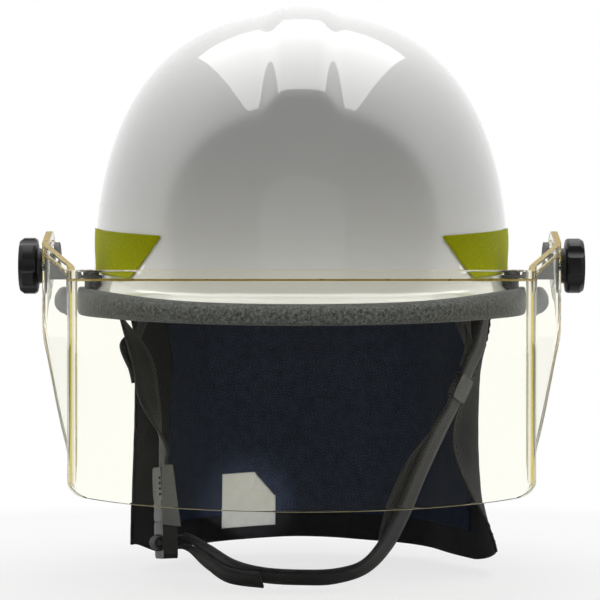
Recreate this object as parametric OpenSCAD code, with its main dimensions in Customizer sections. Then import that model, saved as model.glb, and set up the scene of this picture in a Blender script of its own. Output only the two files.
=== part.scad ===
// Fire helmet with a tilting faceshield, suspension, chin strap and neck curtain.
// Millimetres, +Z up, front towards -Y, origin at the middle of the headband.

/* [Shell] */
// Half width of the dome at its foot
dome_half_w = 117.5; // [115:0.5:120]
// Reach of the dome in front of the origin
dome_front = 138; // [135:0.5:142]
// Reach of the dome behind the origin
dome_back = 142; // [138:0.5:148]
// Height of the dome beside the centre ridge
dome_h = 159.5; // [154:0.5:164]
// Fullness of the dome's upright curve, 2 is an ellipse
dome_power = 2.5; // [2.3:0.1:2.7]
// Wall of the shell
shell_wall = 3; // [2.6:0.1:3.4]
// Height of the raised centre ridge
ridge_h = 3.5; // [2:0.5:5]
// Half width of the flat top of the ridge
ridge_flat = 9; // [7:0.5:11]
// Half width of the ridge where it meets the dome
ridge_foot = 23; // [20:0.5:27]
// Depth of the front panel behind the dome at its foot
panel_inset = 4.4; // [3:0.1:6]
// Lean of the front panel from upright, in degrees
panel_lean = 8; // [6:0.5:10]
// Radius of the front panel seen from above
panel_radius = 125; // [115:5:140]

/* [Brim] */
// Width of the brim at the sides
brim_side = 17; // [15:0.5:18]
// Width of the brim at the front
brim_front = 27; // [24:0.5:30]
// Width of the brim at the back
brim_back = 58; // [50:1:64]
// Drop of the brim's edge at the front
drop_front = 4; // [2:0.5:6]
// Drop of the brim's edge at the back
drop_back = 12; // [8:1:16]
// Slope of the brim, in degrees
brim_slope = 16; // [13:0.5:18]
// Height of the dome's foot, where it turns into the brim
flare_top = 24; // [22:0.5:26]
// Reach of the edge trim beyond the shell
trim_reach = 4; // [3.5:0.1:4.5]
// Height of the edge trim above the middle of the brim's edge
trim_up = 6.8; // [5.5:0.1:7.2]
// Depth of the edge trim below the middle of the brim's edge
trim_down = 7.7; // [6.5:0.1:8.5]

/* [Reflective trims] */
// Thickness of a reflective trim
sticker_t = 0.4; // [0.3:0.1:0.6]
// Height of a reflective trim
sticker_h = 24; // [20:1:27]
// Half of a trim's long edge, in degrees round the dome
sticker_half = 22.5; // [19:0.5:23]
// How much shorter its low edge is at each end, in degrees
sticker_slant = 11; // [8:0.5:13]

/* [Faceshield] */
// Thickness of the faceshield
shield_t = 3.8; // [3:0.1:4.2]
// Reach of the faceshield in front of the origin
shield_reach = 187; // [184:0.5:192]
// Half width of the faceshield at its side bends
shield_bend_w = 122; // [120:0.5:124]
// Height of the shield's top edge
shield_top = 15; // [13:0.5:17]
// Level of the shield's low edge in the middle
shield_low = -105; // [-112:1:-98]
// Height of the bead along the top edge
bead_h = 5.5; // [4:0.5:7]
// How far the bead stands proud of the sheet at each side
bead_proud = 1; // [0.5:0.1:1.5]
// Radius of the ear round the pivot
ear_r = 19; // [17:0.5:20]

/* [Pivot] */
// Place of the pivot in front of the origin
pivot_reach = 50; // [46:0.5:54]
// Height of the pivot
pivot_z = 17.5; // [16.5:0.5:19.5]
// Diameter of the pivot bolt
bolt_d = 6; // [5:0.5:7]
// Gap between the edge trim and the faceshield's ear at the pivot
ear_gap = 4.3; // [3.8:0.1:5]
// Thickness of the bracket's sheet
bracket_t = 2.5; // [2:0.1:2.8]
// Thickness of the inner friction washer
washer_in_t = 0.9; // [0.7:0.1:1.2]
// Thickness of the outer friction washer
washer_out_t = 0.8; // [0.6:0.1:1.2]
// Running gap at each face of the turning pieces
run_gap = 0.3; // [0.2:0.05:0.4]
// Diameter of the lobed knob
knob_d = 30.8; // [28:0.2:32]
// Thickness of the lobed knob
knob_t = 12.5; // [11:0.5:14]
// Diameter of the bracket screws
bracket_screw_d = 4; // [3:0.5:5]

/* [Liner] */
// Gap between the shell and the impact liner
liner_gap = 1.2; // [0.8:0.1:1.6]
// Least thickness of the impact liner
liner_t = 12; // [10:0.5:13]
// Level of the liner's lower rim
liner_base = 25; // [24.5:0.5:28]

/* [Suspension] */
// Half width of the headband inside
band_half_w = 77; // [74:0.5:79]
// Half length of the headband inside
band_half_l = 97; // [94:0.5:98]
// Thickness of the headband
band_t = 1.8; // [1.4:0.1:2.2]
// Height of the headband
band_h = 28; // [24:1:30]
// Width of the crown straps
crown_web_w = 19; // [16:1:22]
// Thickness of the crown straps
crown_web_t = 1.2; // [1:0.1:1.5]
// Level of the topmost crown strap
crown_top = 121; // [112:1:124]
// Width of a strap hanger
hanger_w = 24; // [22:1:26]
// Diameter of the pegs that hold the hangers in the liner
peg_d = 6; // [5:0.5:7]

/* [Nape adjuster] */
// Pitch radius of the pinion
pinion_r = 6; // [6:0.5:7]
// Number of teeth on the pinion
pinion_teeth = 12; // [10:2:14]
// Width of the rack and the pinion's teeth
rack_w = 2; // [1.6:0.1:2.4]
// Height of a rack behind its teeth
rack_back = 6; // [5:0.5:7]
// Play between the teeth
tooth_play = 0.35; // [0.25:0.05:0.5]
// Half width of the ratchet housing
housing_half_w = 30; // [28:0.5:32]
// Half height of the ratchet housing
housing_half_h = 16; // [15.5:0.5:17]
// Wall of the ratchet housing
housing_wall = 1.5; // [1.2:0.1:1.8]
// Diameter of the ratchet knob
dial_d = 38; // [34:1:42]
// Thickness of the ratchet knob
dial_t = 11; // [9:0.5:13]
// Diameter of the pinion's shaft
shaft_d = 6; // [5:0.5:6.5]

/* [Chin strap] */
// Width of the chin webbing
web_w = 19; // [16:1:20]
// Thickness of the chin webbing
web_t = 1.6; // [1.2:0.1:2]
// Width of the buckle
buckle_w = 26; // [25:0.5:30]
// Thickness of the buckle
buckle_t = 8; // [7:0.5:9]
// Length of the buckle's female half
female_l = 30; // [28:1:34]
// Length of the buckle's male half
male_l = 20; // [18:1:22]

/* [Neck curtain] */
// Thickness of the curtain's cloth
cloth_t = 1.6; // [1.2:0.1:1.8]
// Level of the curtain's low edge at the back
curtain_low = -150; // [-165:1:-130]
// Depth of the curtain's folds
fold_depth = 3; // [1:0.5:4]

/* [Rear hanger] */
// Inside diameter of the hanging ring
ring_in_d = 30; // [26:1:34]
// Thickness of the ring's wire
ring_wire_d = 4; // [3:0.5:5]
// Thickness of the strap that holds the ring
ring_plate_t = 1.5; // [1.2:0.1:1.8]
// Half width of that strap
ring_half = 14; // [12:0.5:14.5]
// Reach of the ring's eye behind the rivets
ring_arm = 12; // [11:0.5:13]
// Distance of each rivet from the middle
ring_rivet_x = 8; // [6:0.5:9]
// Diameter of the rivets
ring_rivet_d = 4; // [3:0.5:4.5]

/* [Hidden] */
// Where across the brim the ring's rivets stand, 0 is the edge and 1 is the dome
ring_v = 0.22;
// Points round the shell, and rows up its brim and its dome
shell_sides = 72;
brim_rows = 7;
dome_rows = 13;
// Softness of the edge round the front panel
panel_soft = 0.5;
// Clearance of pieces that are slipped over each other
slip = 0.2;
brim_half_w = dome_half_w + brim_side;
brim_reach = dome_front + brim_front;
brim_rear = dome_back + brim_back;
flare_turn = asin(pow(flare_top / dome_h, dome_power / 2));
liner_turn = asin(pow(liner_base / dome_h, dome_power / 2));
crown_z = dome_h + ridge_h;

// Values between two others, and a soft step from 0 to 1
function mix(a, b, t) = a + (b - a) * t;
function ease(t) = let (c = min(1, max(0, t))) c * c * (3 - 2 * c);
function unit(v) = v / norm(v);
function bezier(p, t) = let (s = 1 - t)
  p[0] * s * s * s + p[1] * 3 * s * s * t + p[2] * 3 * s * t * t + p[3] * t * t * t;

// An egg seen from above, and a dome over it
function egg(turn, half_w, front, back) =
  [half_w * cos(turn), (sin(turn) < 0 ? front : back) * sin(turn)];
function plain_dome(turn, rise, half_w, front, back, top) =
  let (flat = egg(turn, half_w, front, back), c = pow(max(0, cos(rise)), 2 / dome_power))
  [flat[0] * c, flat[1] * c, top * pow(sin(rise), 2 / dome_power)];
function ridged(p) =
  let (bump = 1 - ease((abs(p[0]) - ridge_flat) / (ridge_foot - ridge_flat)),
       out = unit([0, p[1], p[2] + 0.001]))
  p + out * ridge_h * bump * ease((p[2] - 45) / 45);
function panel_y(p) =
  -(dome_front - panel_inset - p[2] * tan(panel_lean) - p[0] * p[0] / (2 * panel_radius));
function faced(p) = p[1] > 0 ? p
  : let (mean = (p[1] + panel_y(p)) / 2, half = (p[1] - panel_y(p)) / 2)
    [p[0], mean + sqrt(half * half + panel_soft * panel_soft), p[2]];
function dome(turn, rise) =
  faced(ridged(plain_dome(turn, rise, dome_half_w, dome_front, dome_back, dome_h)));

// The brim runs out from the dome's foot to its edge in one curve
function edge_z(turn) = -(sin(turn) < 0 ? drop_front : drop_back) * pow(sin(turn), 2);
function edge(turn) =
  let (flat = egg(turn, brim_half_w, brim_reach, brim_rear)) [flat[0], flat[1], edge_z(turn)];
function brim(turn, t) =
  let (root = dome(turn, flare_turn), rim = edge(turn),
       run = norm([rim[0] - root[0], rim[1] - root[1]]),
       foot = [root[0], root[1], rim[2] + run * tan(brim_slope)],
       down = unit(root - dome(turn, flare_turn + 1)))
  bezier([rim, mix(rim, foot, 0.8), root + down * 0.8 * norm(root - foot), root], t);

// The whole outer face: 0 to 1 is the brim, 1 to 2 is the dome up to its crown
function face(turn, v) =
  v <= 1 ? brim(turn, v) : dome(turn, mix(flare_turn, 90, min(1, v - 1)));
function face_normal(turn, v) =
  let (round = face(turn + 0.5, v) - face(turn - 0.5, v),
       up = face(turn, min(1.995, v + 0.01)) - face(turn, max(0, v - 0.01)))
  unit(cross(round, up));
function inset(turn, v, depth) = face(turn, v) - face_normal(turn, v) * depth;

// Triangles between two rows of points that start at a and at b
function strip(a, b, count, wrap) = [
  for (j = [0 : count - (wrap ? 1 : 2)])
    let (k = (j + 1) % count)
      each [[a + j, b + j, a + k], [a + k, b + j, b + k]]
];

// A sheet between two faces given as rows of points, lowest row first
module sheet(outer, inner, wrap = false, apex = []) {
  rows = len(outer);
  cols = len(outer[0]);
  n = rows * cols;
  last = (rows - 1) * cols;
  skin = [for (i = [0 : rows - 2]) each strip(i * cols, (i + 1) * cols, cols, wrap)];
  back = [for (t = skin) [t[0] + n, t[2] + n, t[1] + n]];
  top = len(apex) == 0 ? strip(last, last + n, cols, wrap)
    : [for (j = [0 : cols - 1])
        let (k = (j + 1) % cols)
          each [[last + k, last + j, 2 * n], [last + n + j, last + n + k, 2 * n + 1]]];
  ends = wrap ? []
    : [for (i = [0 : rows - 2])
        let (a = i * cols, b = a + cols, c = b - 1, d = c + cols)
          each [[b, a, a + n], [b, a + n, b + n], [c, d, c + n], [d, d + n, c + n]]];
  polyhedron([for (r = outer) each r, for (r = inner) each r, each apex],
    concat(skin, back, strip(n, 0, cols, wrap), top, ends), convexity = 8);
}

// A bar through rings of points, as a closed loop or with flat ends
module loft(rings, closed = false) {
  count = len(rings);
  n = len(rings[0]);
  side = [for (i = [0 : count - (closed ? 1 : 2)])
    each strip(i * n, ((i + 1) % count) * n, n, true)];
  low = [for (j = [1 : n - 2]) [0, j, j + 1]];
  high = [for (j = [1 : n - 2]) [n * count - n, n * count - n + j + 1, n * count - n + j]];
  polyhedron([for (r = rings) each r], closed ? side : concat(side, low, high),
    convexity = 8);
}

module mirrored() {
  children();
  mirror([1, 0, 0]) children();
}

module shell() {
  rise = concat([for (i = [0 : brim_rows]) i / brim_rows],
    [for (i = [1 : dome_rows]) 1 + i / (dome_rows + 1)]);
  turns = [for (i = [0 : shell_sides - 1]) i * 360 / shell_sides];
  color("white")
    difference() {
      sheet([for (v = rise) [for (u = turns) face(u, v)]],
        [for (v = rise) [for (u = turns) inset(u, v, shell_wall)]],
        true, [face(0, 2), face(0, 2) - [0, 0, shell_wall]]);
      mirrored()
        for (at = bracket_screws_at)
          translate([at[0], at[1], -20])
            cylinder(d = bracket_screw_d + 2 * slip, h = 60, $fn = 32);
      at_ring()
        ring_bores();
    }
}

// Cross-section of the trim: reach outwards and height, round the groove for the brim.
// Its upper lip is thin in front and full at the sides and behind.
trim_lip_front = 0.25;
function trim_section(turn) =
  let (g = shell_wall / 2 + slip, r = trim_reach, low = trim_down,
       lip = mix(1, trim_lip_front, ease(-2 * sin(turn) - 1)),
       up = g + (trim_up - g) * lip)
  [[-5, g], [slip, g], [slip, -g], [-3.5, -g], [-3.5, -low * 0.6], [-2.2, -low],
   [r * 0.3, -low], [r * 0.85, -low * 0.68], [r * 1.1, -low * 0.1], [r, up * 0.55],
   [r * 0.4, up], [-3, up], [-5, up * 0.65]];

// Middle of the shell's edge, and the directions across it and out of it
function edge_mid(turn) = mix(face(turn, 0), inset(turn, 0, shell_wall), 0.5);
function edge_up(turn) = face_normal(turn, 0);
function edge_out(turn) =
  let (along = face(turn + 0.5, 0) - face(turn - 0.5, 0)) unit(cross(along, edge_up(turn)));

module edge_trim() {
  color("dimgray")
    loft([for (i = [0 : shell_sides - 1])
      let (u = i * 360 / shell_sides)
        [for (p = trim_section(u)) edge_mid(u) + edge_out(u) * p[0] + edge_up(u) * p[1]]],
      true);
}

// Places of the reflective trims round each side, in degrees behind the helmet's side
sticker_turns = [-28.6, 20, 66];
sticker_level = 24;
sticker_climb = 6;
sticker_cols = 8;
sticker_lift = 0.45;
sticker_rows = 2;

// Place on the face that lies at a given level, found by halving within the brim
function brim_level(turn, z, low = 0.2, high = 1, left = 12) =
  let (mid = (low + high) / 2)
  left == 0 ? mid
    : brim(turn, mid)[2] < z ? brim_level(turn, z, mid, high, left - 1)
    : brim_level(turn, z, low, mid, left - 1);
function face_level(turn, z) = z < flare_top ? brim_level(turn, z)
  : 1 + (asin(pow(z / dome_h, dome_power / 2)) - flare_turn) / (90 - flare_turn);
function sticker_point(mid, s, t, lift) =
  let (half = sticker_half - sticker_slant * (1 - t), turn = mid + s * half,
       z = sticker_level + sticker_climb * s * half / sticker_half / 2 + (t - 0.5) * sticker_h,
       v = face_level(turn, z))
  face(turn, v) + face_normal(turn, v) * lift;

module reflective_trims() {
  color("olive")
    mirrored()
      for (mid = sticker_turns)
        sheet([for (i = [0 : sticker_rows]) [for (j = [-sticker_cols : 2 : sticker_cols])
            sticker_point(mid, j / sticker_cols, i / sticker_rows, sticker_lift + sticker_t)]],
          [for (i = [0 : sticker_rows]) [for (j = [-sticker_cols : 2 : sticker_cols])
            sticker_point(mid, j / sticker_cols, i / sticker_rows, sticker_lift)]]);
}

// The impact liner fills the dome down to its rim and is hollow for the suspension
liner_depth = shell_wall + liner_gap;
liner_in_w = dome_half_w - liner_depth - liner_t;
liner_in_front = dome_front - panel_inset - liner_depth - liner_t;
liner_in_back = dome_back - liner_depth - liner_t;
liner_in_top = dome_h - liner_depth - liner_t;
liner_sides = 48;
liner_rows = 8;

function liner_outer(turn, t) =
  let (v = 1 + mix(liner_turn - flare_turn, 90 - flare_turn, t) / (90 - flare_turn),
       p = inset(turn, v, liner_depth))
  [p[0], p[1], max(liner_base, p[2])];
function liner_inner(turn, t) =
  let (low = asin(pow(liner_base / liner_in_top, dome_power / 2)))
  plain_dome(turn, mix(low, 90, t), liner_in_w, liner_in_front, liner_in_back, liner_in_top);
module impact_liner() {
  ts = [for (i = [0 : liner_rows]) i / (liner_rows + 1)];
  us = [for (i = [0 : liner_sides - 1]) i * 360 / liner_sides];
  color("tan")
    difference() {
      sheet([for (t = ts) [for (u = us)
          let (p = liner_outer(u, t)) t == 0 ? [p[0], p[1], liner_base] : p]],
        [for (t = ts) [for (u = us) liner_inner(u, t)]],
        true, [[0, 0, crown_z - liner_depth], [0, 0, liner_in_top]]);
      for (a = hanger_turns)
        translate(hanger_peg(a) + [0, 0, liner_base - 1])
          cylinder(d = peg_d + 2 * slip, h = peg_h + 2, $fn = 32);
      mirrored()
        for (k = [0, 1])
          translate(anchor_peg(k) + [0, 0, liner_base - 1])
            cylinder(d = peg_d + 2 * slip, h = peg_h + 2, $fn = 32);
    }
}

// Faceshield seen from above: front sweep, side bend, then the flare out to the ear
shield_mid_w = shield_bend_w - shield_t / 2;
shield_mid_reach = shield_reach - shield_t / 2;
trim_side_x = egg_x(pivot_reach, brim_half_w + trim_reach, brim_reach + trim_reach);
ear_in_x = trim_side_x + ear_gap;
ear_mid_x = ear_in_x + shield_t / 2;
bend_y = 120;
ear_flat_y = pivot_reach + ear_r + 1;
shield_steps = 14;

// Half width of an egg at a given reach in front of the origin
function egg_x(reach, half_w, front) = half_w * sqrt(1 - pow(reach / front, 2));

sweep_front = [[0, -shield_mid_reach], [70, -shield_mid_reach],
  [shield_mid_w, -165], [shield_mid_w, -bend_y]];

// Rises from 0 to 1 as t does, straight but for a bend over a share r of the way at each end
function bent(t, r) = t < r ? t * t / (2 * r * (1 - r))
  : t > 1 - r ? 1 - pow(1 - t, 2) / (2 * r * (1 - r)) : (t - r / 2) / (1 - r);
shield_path = concat(
  [for (i = [0 : shield_steps - 1]) bezier(sweep_front, i / shield_steps)],
  [for (i = [0 : shield_steps]) let (t = i / shield_steps)
    [mix(shield_mid_w, ear_mid_x, bent(t, 0.2)), mix(-bend_y, -ear_flat_y, t)]],
  [[ear_mid_x, -pivot_reach + ear_r + 2]]);

function path_side(path, i) =
  let (a = path[max(0, i - 1)], b = path[min(len(path) - 1, i + 1)], d = unit(b - a))
  i == 0 ? [0, -1] : [d[1], -d[0]];
function offset_path(path, out) = [for (i = [0 : len(path) - 1])
  path[i] + path_side(path, i) * out];
function flipped(path) = [for (i = [len(path) - 1 : -1 : 0]) [-path[i][0], path[i][1]]];

module shield_plan(half_t, last) {
  path = [for (i = [0 : last]) shield_path[i]];
  outer = offset_path(path, half_t);
  inner = offset_path(path, -half_t);
  whole_inner = concat(flipped([for (i = [1 : last]) inner[i]]), inner);
  polygon(concat(flipped(outer), [for (i = [1 : last]) outer[i]],
    [for (i = [len(whole_inner) - 1 : -1 : 0]) whole_inner[i]]));
}

// Faceshield seen from the front: straight top, slightly sagging low edge, round corners
corner_w = 14;
corner_h = 12;
shield_sag = 4;
function shield_edge(x) =
  let (flat = shield_bend_w - corner_w, past = max(0, abs(x) - flat) / corner_w)
  shield_low + shield_sag * pow(min(abs(x), flat) / flat, 2)
    + corner_h * (1 - sqrt(max(0, 1 - past * past)));
module shield_front_view() {
  xs = [for (i = [-24 : 24]) shield_bend_w * sin(90 * i / 24)];
  polygon(concat([[-200, 60], [-200, shield_low - 2], [-shield_bend_w - 0.1, shield_low - 2]],
    [for (x = xs) [x, shield_edge(x)]],
    [[shield_bend_w + 0.1, shield_low - 2], [200, shield_low - 2], [200, 60]]));
}

// Faceshield seen from the side: ear, slanting top of the wing, slanting rear edge
module shield_side_view() {
  corner_z = shield_low + shield_sag + corner_h;
  rear = [[-pivot_reach + ear_r * 0.16, pivot_z - ear_r * 0.987],
    [-pivot_reach - 34, pivot_z - 24.5], [-bend_y + 32, pivot_z - 75.5],
    [-bend_y - 1, corner_z]];
  hull() {
    translate([-pivot_reach, pivot_z])
      circle(r = ear_r, $fn = 64);
    translate([-bend_y, shield_top - 8])
      circle(r = 8, $fn = 32);
  }
  polygon(concat([for (i = [0 : 12]) bezier(rear, i / 12)],
    [[-bend_y - 1, shield_low - 3], [-shield_reach - 8, shield_low - 3],
     [-shield_reach - 8, shield_top], [-bend_y, shield_top], [-pivot_reach, pivot_z]]));
}

module faceshield() {
  color([0.98, 0.96, 0.72, 0.5])
    difference() {
      union() {
        intersection() {
          translate([0, 0, shield_low - 5])
            linear_extrude(height = pivot_z + ear_r + 10 - shield_low)
              shield_plan(shield_t / 2, len(shield_path) - 1);
          rotate([90, 0, 0])
            linear_extrude(height = shield_reach + 10)
              shield_front_view();
          translate([-200, 0, 0])
            rotate([90, 0, 90])
              linear_extrude(height = 400)
                shield_side_view();
        }
        translate([0, 0, shield_top - bead_h])
          linear_extrude(height = bead_h)
            shield_plan(shield_t / 2 + bead_proud, shield_steps - 1);
      }
      translate([-ear_in_x - shield_t - 5, -pivot_reach, pivot_z])
        rotate([0, 90, 0])
          cylinder(d = bolt_d + 2 * run_gap, h = 2 * ear_in_x + 2 * shield_t + 10, $fn = 48);
    }
}

// Stack along the pivot, from the bracket outwards
tab_out_x = ear_in_x - run_gap - washer_in_t;
tab_in_x = tab_out_x - bracket_t;
washer_out_x = ear_in_x + shield_t + run_gap;
knob_in_x = washer_out_x + washer_out_t + run_gap;
knob_out_x = knob_in_x + knob_t;
bolt_end_x = knob_out_x - 3.5;
bracket_z = 10;
bracket_half = 15;
tab_r = 13;
// The brim's edge runs at this angle to the pivot's plane, and the screws follow it
rim_x = egg_x(pivot_reach, brim_half_w, brim_reach);
rim_turn = atan(brim_half_w * pivot_reach / pow(brim_reach, 2)
  / sqrt(1 - pow(pivot_reach / brim_reach, 2)));
screw_row_x = rim_x - 9.9;
foot_row_x = screw_row_x - 5.2;
function rim_line(x, s) = [x + s * tan(rim_turn), -pivot_reach + s];
bracket_screws_at = [rim_line(screw_row_x, -10.2), rim_line(screw_row_x, 10.2)];
bracket_top_z = bracket_z + bracket_t;

module along_x(x) {
  translate([x, -pivot_reach, pivot_z])
    rotate([0, 90, 0])
      children();
}

// Bracket on the right: foot plate on the brim, upright tab for the bolt, two gussets
module bracket() {
  color("black")
    difference() {
      union() {
        translate([0, 0, bracket_z])
          linear_extrude(height = bracket_t)
            polygon([rim_line(foot_row_x, -bracket_half), [tab_out_x, -pivot_reach - bracket_half],
              [tab_out_x, -pivot_reach + bracket_half], rim_line(foot_row_x, bracket_half)]);
        along_x(tab_in_x)
          cylinder(r = tab_r, h = bracket_t, $fn = 64);
        translate([tab_in_x, -pivot_reach - tab_r, bracket_z])
          cube([bracket_t, 2 * tab_r, pivot_z - bracket_z]);
        for (y = [-pivot_reach - tab_r, -pivot_reach + tab_r - 2])
          translate([tab_in_x, y + 2, bracket_top_z])
            rotate([90, 0, 0])
              linear_extrude(height = 2)
                polygon([[0, 0], [0, 6], [-6, 0]]);
      }
      along_x(tab_in_x - 5)
        cylinder(d = bolt_d + 2 * slip, h = bracket_t + 10, $fn = 48);
      translate([tab_in_x - 5, -pivot_reach - tab_r - 5, bracket_z - 20])
        cube([bracket_t + 10, 2 * tab_r + 10, 20]);
      for (at = bracket_screws_at)
        translate([at[0], at[1], bracket_z - 5])
          cylinder(d = bracket_screw_d + 2 * slip, h = bracket_t + 10, $fn = 32);
    }
}
module bracket_right() { bracket(); }
module bracket_left() { mirror([1, 0, 0]) bracket(); }

// Rubber pads that level the brackets on the sloping brim
module bracket_pads() {
  us = [for (i = [0 : 6]) -25 + 2 * i];
  vs = [for (i = [0 : 5]) 0.2 + 0.055 * i];
  low = [for (v = vs) [for (u = us) face(u, v) + [0, 0, slip]]];
  color([0.15, 0.15, 0.15])
    mirrored()
      difference() {
        sheet([for (r = low) [for (p = r) [p[0], p[1], bracket_z]]], low);
        for (at = bracket_screws_at)
          translate([at[0], at[1], bracket_z - 30])
            cylinder(d = bracket_screw_d + 2 * slip, h = 40, $fn = 32);
      }
}

// Domed screw with its shank down through the brim
screw_head_h = 3;
screw_end_z = -6;
module bracket_screws() {
  color("black")
    mirrored()
      for (at = bracket_screws_at)
        translate([at[0], at[1], 0]) {
          translate([0, 0, screw_end_z])
            cylinder(d = bracket_screw_d, h = bracket_top_z - screw_end_z + 1, $fn = 32);
          translate([0, 0, bracket_top_z])
            dome_head(bracket_screw_d * 2.2, screw_head_h, 2.5);
        }
}

// Domed head with a hexagon socket
module dome_head(d, h, key) {
  difference() {
    rotate_extrude($fn = 48)
      polygon(concat([[0, 0], [d / 2, 0]],
        [for (a = [10 : 20 : 90]) [d / 2 * cos(a), h * (0.25 + 0.75 * sin(a))]]));
    translate([0, 0, h * 0.45])
      cylinder(d = key, h = h, $fn = 6);
  }
}

nut_h = 3;
module bracket_nuts() {
  color("silver")
    mirrored()
      for (at = bracket_screws_at)
        translate([at[0], at[1], screw_end_z + 0.5])
          difference() {
            rotate(30)
              cylinder(d = bracket_screw_d * 1.9, h = nut_h, $fn = 6);
            translate([0, 0, -1])
              cylinder(d = bracket_screw_d + 0.1, h = nut_h + 2, $fn = 32);
          }
}

module pivot_bolts() {
  color("silver")
    mirrored() {
      along_x(tab_in_x)
        rotate([180, 0, 0])
          dome_head(bolt_d * 1.6, 2.6, 3);
      along_x(tab_in_x - 0.5)
        cylinder(d = bolt_d, h = bolt_end_x - tab_in_x + 0.5, $fn = 48);
    }
}

module washer(x, d, t) {
  along_x(x)
    difference() {
      cylinder(d = d, h = t, $fn = 64);
      translate([0, 0, -1])
        cylinder(d = bolt_d + 2 * slip, h = t + 2, $fn = 48);
    }
}
module washers_inner() { color("gray") mirrored() washer(tab_out_x, bolt_d * 4, washer_in_t); }
module washers_outer() { color("gray") mirrored() washer(washer_out_x, bolt_d * 3.7, washer_out_t); }

// Six lobed knob with a blind bore for the bolt
knob_lobes = 6;
module knob(turn) {
  scallop_r = knob_d * 0.21;
  scallop_at = knob_d * 0.655;
  color([0.08, 0.08, 0.08])
    along_x(knob_in_x)
      difference() {
        rotate_extrude($fn = 96)
          polygon([[0, 0], [knob_d * 0.3, 0], [knob_d * 0.32, knob_t * 0.2],
            [knob_d * 0.47, knob_t * 0.26], [knob_d / 2, knob_t * 0.36],
            [knob_d / 2, knob_t * 0.82], [knob_d * 0.45, knob_t], [knob_d * 0.2, knob_t],
            [knob_d * 0.17, knob_t * 0.9], [0, knob_t * 0.9]]);
        for (i = [0 : knob_lobes - 1])
          rotate(turn + 180 / knob_lobes + i * 360 / knob_lobes)
            translate([scallop_at, 0, knob_t * 0.1])
              cylinder(r = scallop_r, h = knob_t, $fn = 48);
        translate([0, 0, -1])
          cylinder(d = bolt_d + 2 * slip, h = bolt_end_x - knob_in_x + 1 + slip, $fn = 48);
      }
}
module knob_right() { knob(90); }
module knob_left() { mirror([1, 0, 0]) knob(120); }

// Headband: an oval open at the nape, ending in two flat tails
tail_y = band_half_l - 6;
tail_in_x = 20;
tail_out_x = 34;
band_from = 46;
band_low = -band_h / 2;
band_steps = 44;
function band_path() =
  let (gap = asin(band_from / band_half_w))
  concat([[tail_in_x, tail_y], [tail_out_x - 4, tail_y], [tail_out_x, tail_y - 1]],
    [for (i = [0 : band_steps]) let (a = 90 - gap - i * (360 - 2 * gap) / band_steps)
      [band_half_w * cos(a), band_half_l * sin(a)]],
    [[-tail_out_x, tail_y - 1], [-tail_out_x + 4, tail_y], [-tail_in_x, tail_y]]);
function path_normal(path, i) =
  let (a = path[max(0, i - 1)], b = path[min(len(path) - 1, i + 1)], d = unit(b - a))
  [-d[1], d[0]];

module headband() {
  path = band_path();
  count = len(path);
  outer = [for (i = [0 : count - 1]) path[i] + path_normal(path, i) * band_t];
  color([0.12, 0.12, 0.13])
    difference() {
      translate([0, 0, band_low])
        linear_extrude(height = band_h)
          polygon(concat(path, [for (i = [count - 1 : -1 : 0]) outer[i]]));
      for (a = hanger_turns)
        translate(concat(band_point(a), stud_z))
          rotate([0, 0, band_face(a)])
            translate([-10, 0, 0])
              rotate([0, 90, 0])
                cylinder(d = stud_d + 2 * slip, h = 20, $fn = 32);
      for (x = [-1, 1] * housing_screw_x, z = [-1, 1] * housing_screw_z)
        translate([x, tail_y - 10, z])
          rotate([-90, 0, 0])
            cylinder(d = housing_screw_d + 2 * slip, h = 20, $fn = 32);
    }
}

// Six strap hangers, each square to the headband, pegged up into the liner's rim
hanger_turns = [0, 50, 130, 180, 230, 310];
hanger_t = 2.5;
hanger_top = 33;
stud_d = 5;
stud_z = 6;
peg_h = 8;
// A point on the oval of the headband in a given direction, and the way it faces
function oval_reach(a, half_w, half_l) =
  1 / sqrt(pow(cos(a) / half_w, 2) + pow(sin(a) / half_l, 2));
function band_point(a) =
  let (r = oval_reach(a, band_half_w, band_half_l)) [r * cos(a), r * sin(a)];
function band_face(a) =
  let (p = band_point(a)) atan2(p[1] / pow(band_half_l, 2), p[0] / pow(band_half_w, 2));
function at_band(a, out) = let (f = band_face(a)) band_point(a) + out * [cos(f), sin(f)];
tab_out = band_t + slip;
function hanger_arm(a) =
  let (f = band_face(a), p = at_band(a, 0), dir = [cos(f), sin(f)],
       mid_w = liner_in_w + liner_t / 2,
       mid_l = p[1] < 0 ? liner_in_front + liner_t / 2 : liner_in_back + liner_t / 2,
       k0 = pow(p[0] / mid_w, 2) + pow(p[1] / mid_l, 2) - 1,
       k1 = 2 * (p[0] * dir[0] / (mid_w * mid_w) + p[1] * dir[1] / (mid_l * mid_l)),
       k2 = pow(dir[0] / mid_w, 2) + pow(dir[1] / mid_l, 2))
  (-k1 + sqrt(k1 * k1 - 4 * k2 * k0)) / (2 * k2);
function hanger_peg(a) = let (p = at_band(a, hanger_arm(a))) [p[0], p[1], 0];

module at_hanger(a) {
  translate(concat(band_point(a), 0))
    rotate([0, 0, band_face(a)])
      children();
}

module strap_hangers() {
  color([0.1, 0.1, 0.1])
    for (a = hanger_turns)
      at_hanger(a)
        difference() {
          union() {
            translate([tab_out, -hanger_w / 2, band_low + 8])
              cube([hanger_t, hanger_w, hanger_top - band_low - 8]);
            translate([tab_out, -peg_d * 0.575, liner_base - 2.5])
              cube([hanger_arm(a) - tab_out, peg_d * 1.15, 2.5]);
            translate([hanger_arm(a), 0, liner_base - 2.5])
              cylinder(d = peg_d * 1.15, h = 2.5, $fn = 32);
            translate([hanger_arm(a), 0, liner_base - 1])
              cylinder(d = peg_d, h = peg_h + 1, $fn = 32);
          }
          translate([tab_out - 5, 0, stud_z])
            rotate([0, 90, 0])
              cylinder(d = stud_d + 2 * slip, h = 20, $fn = 32);
        }
}

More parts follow.
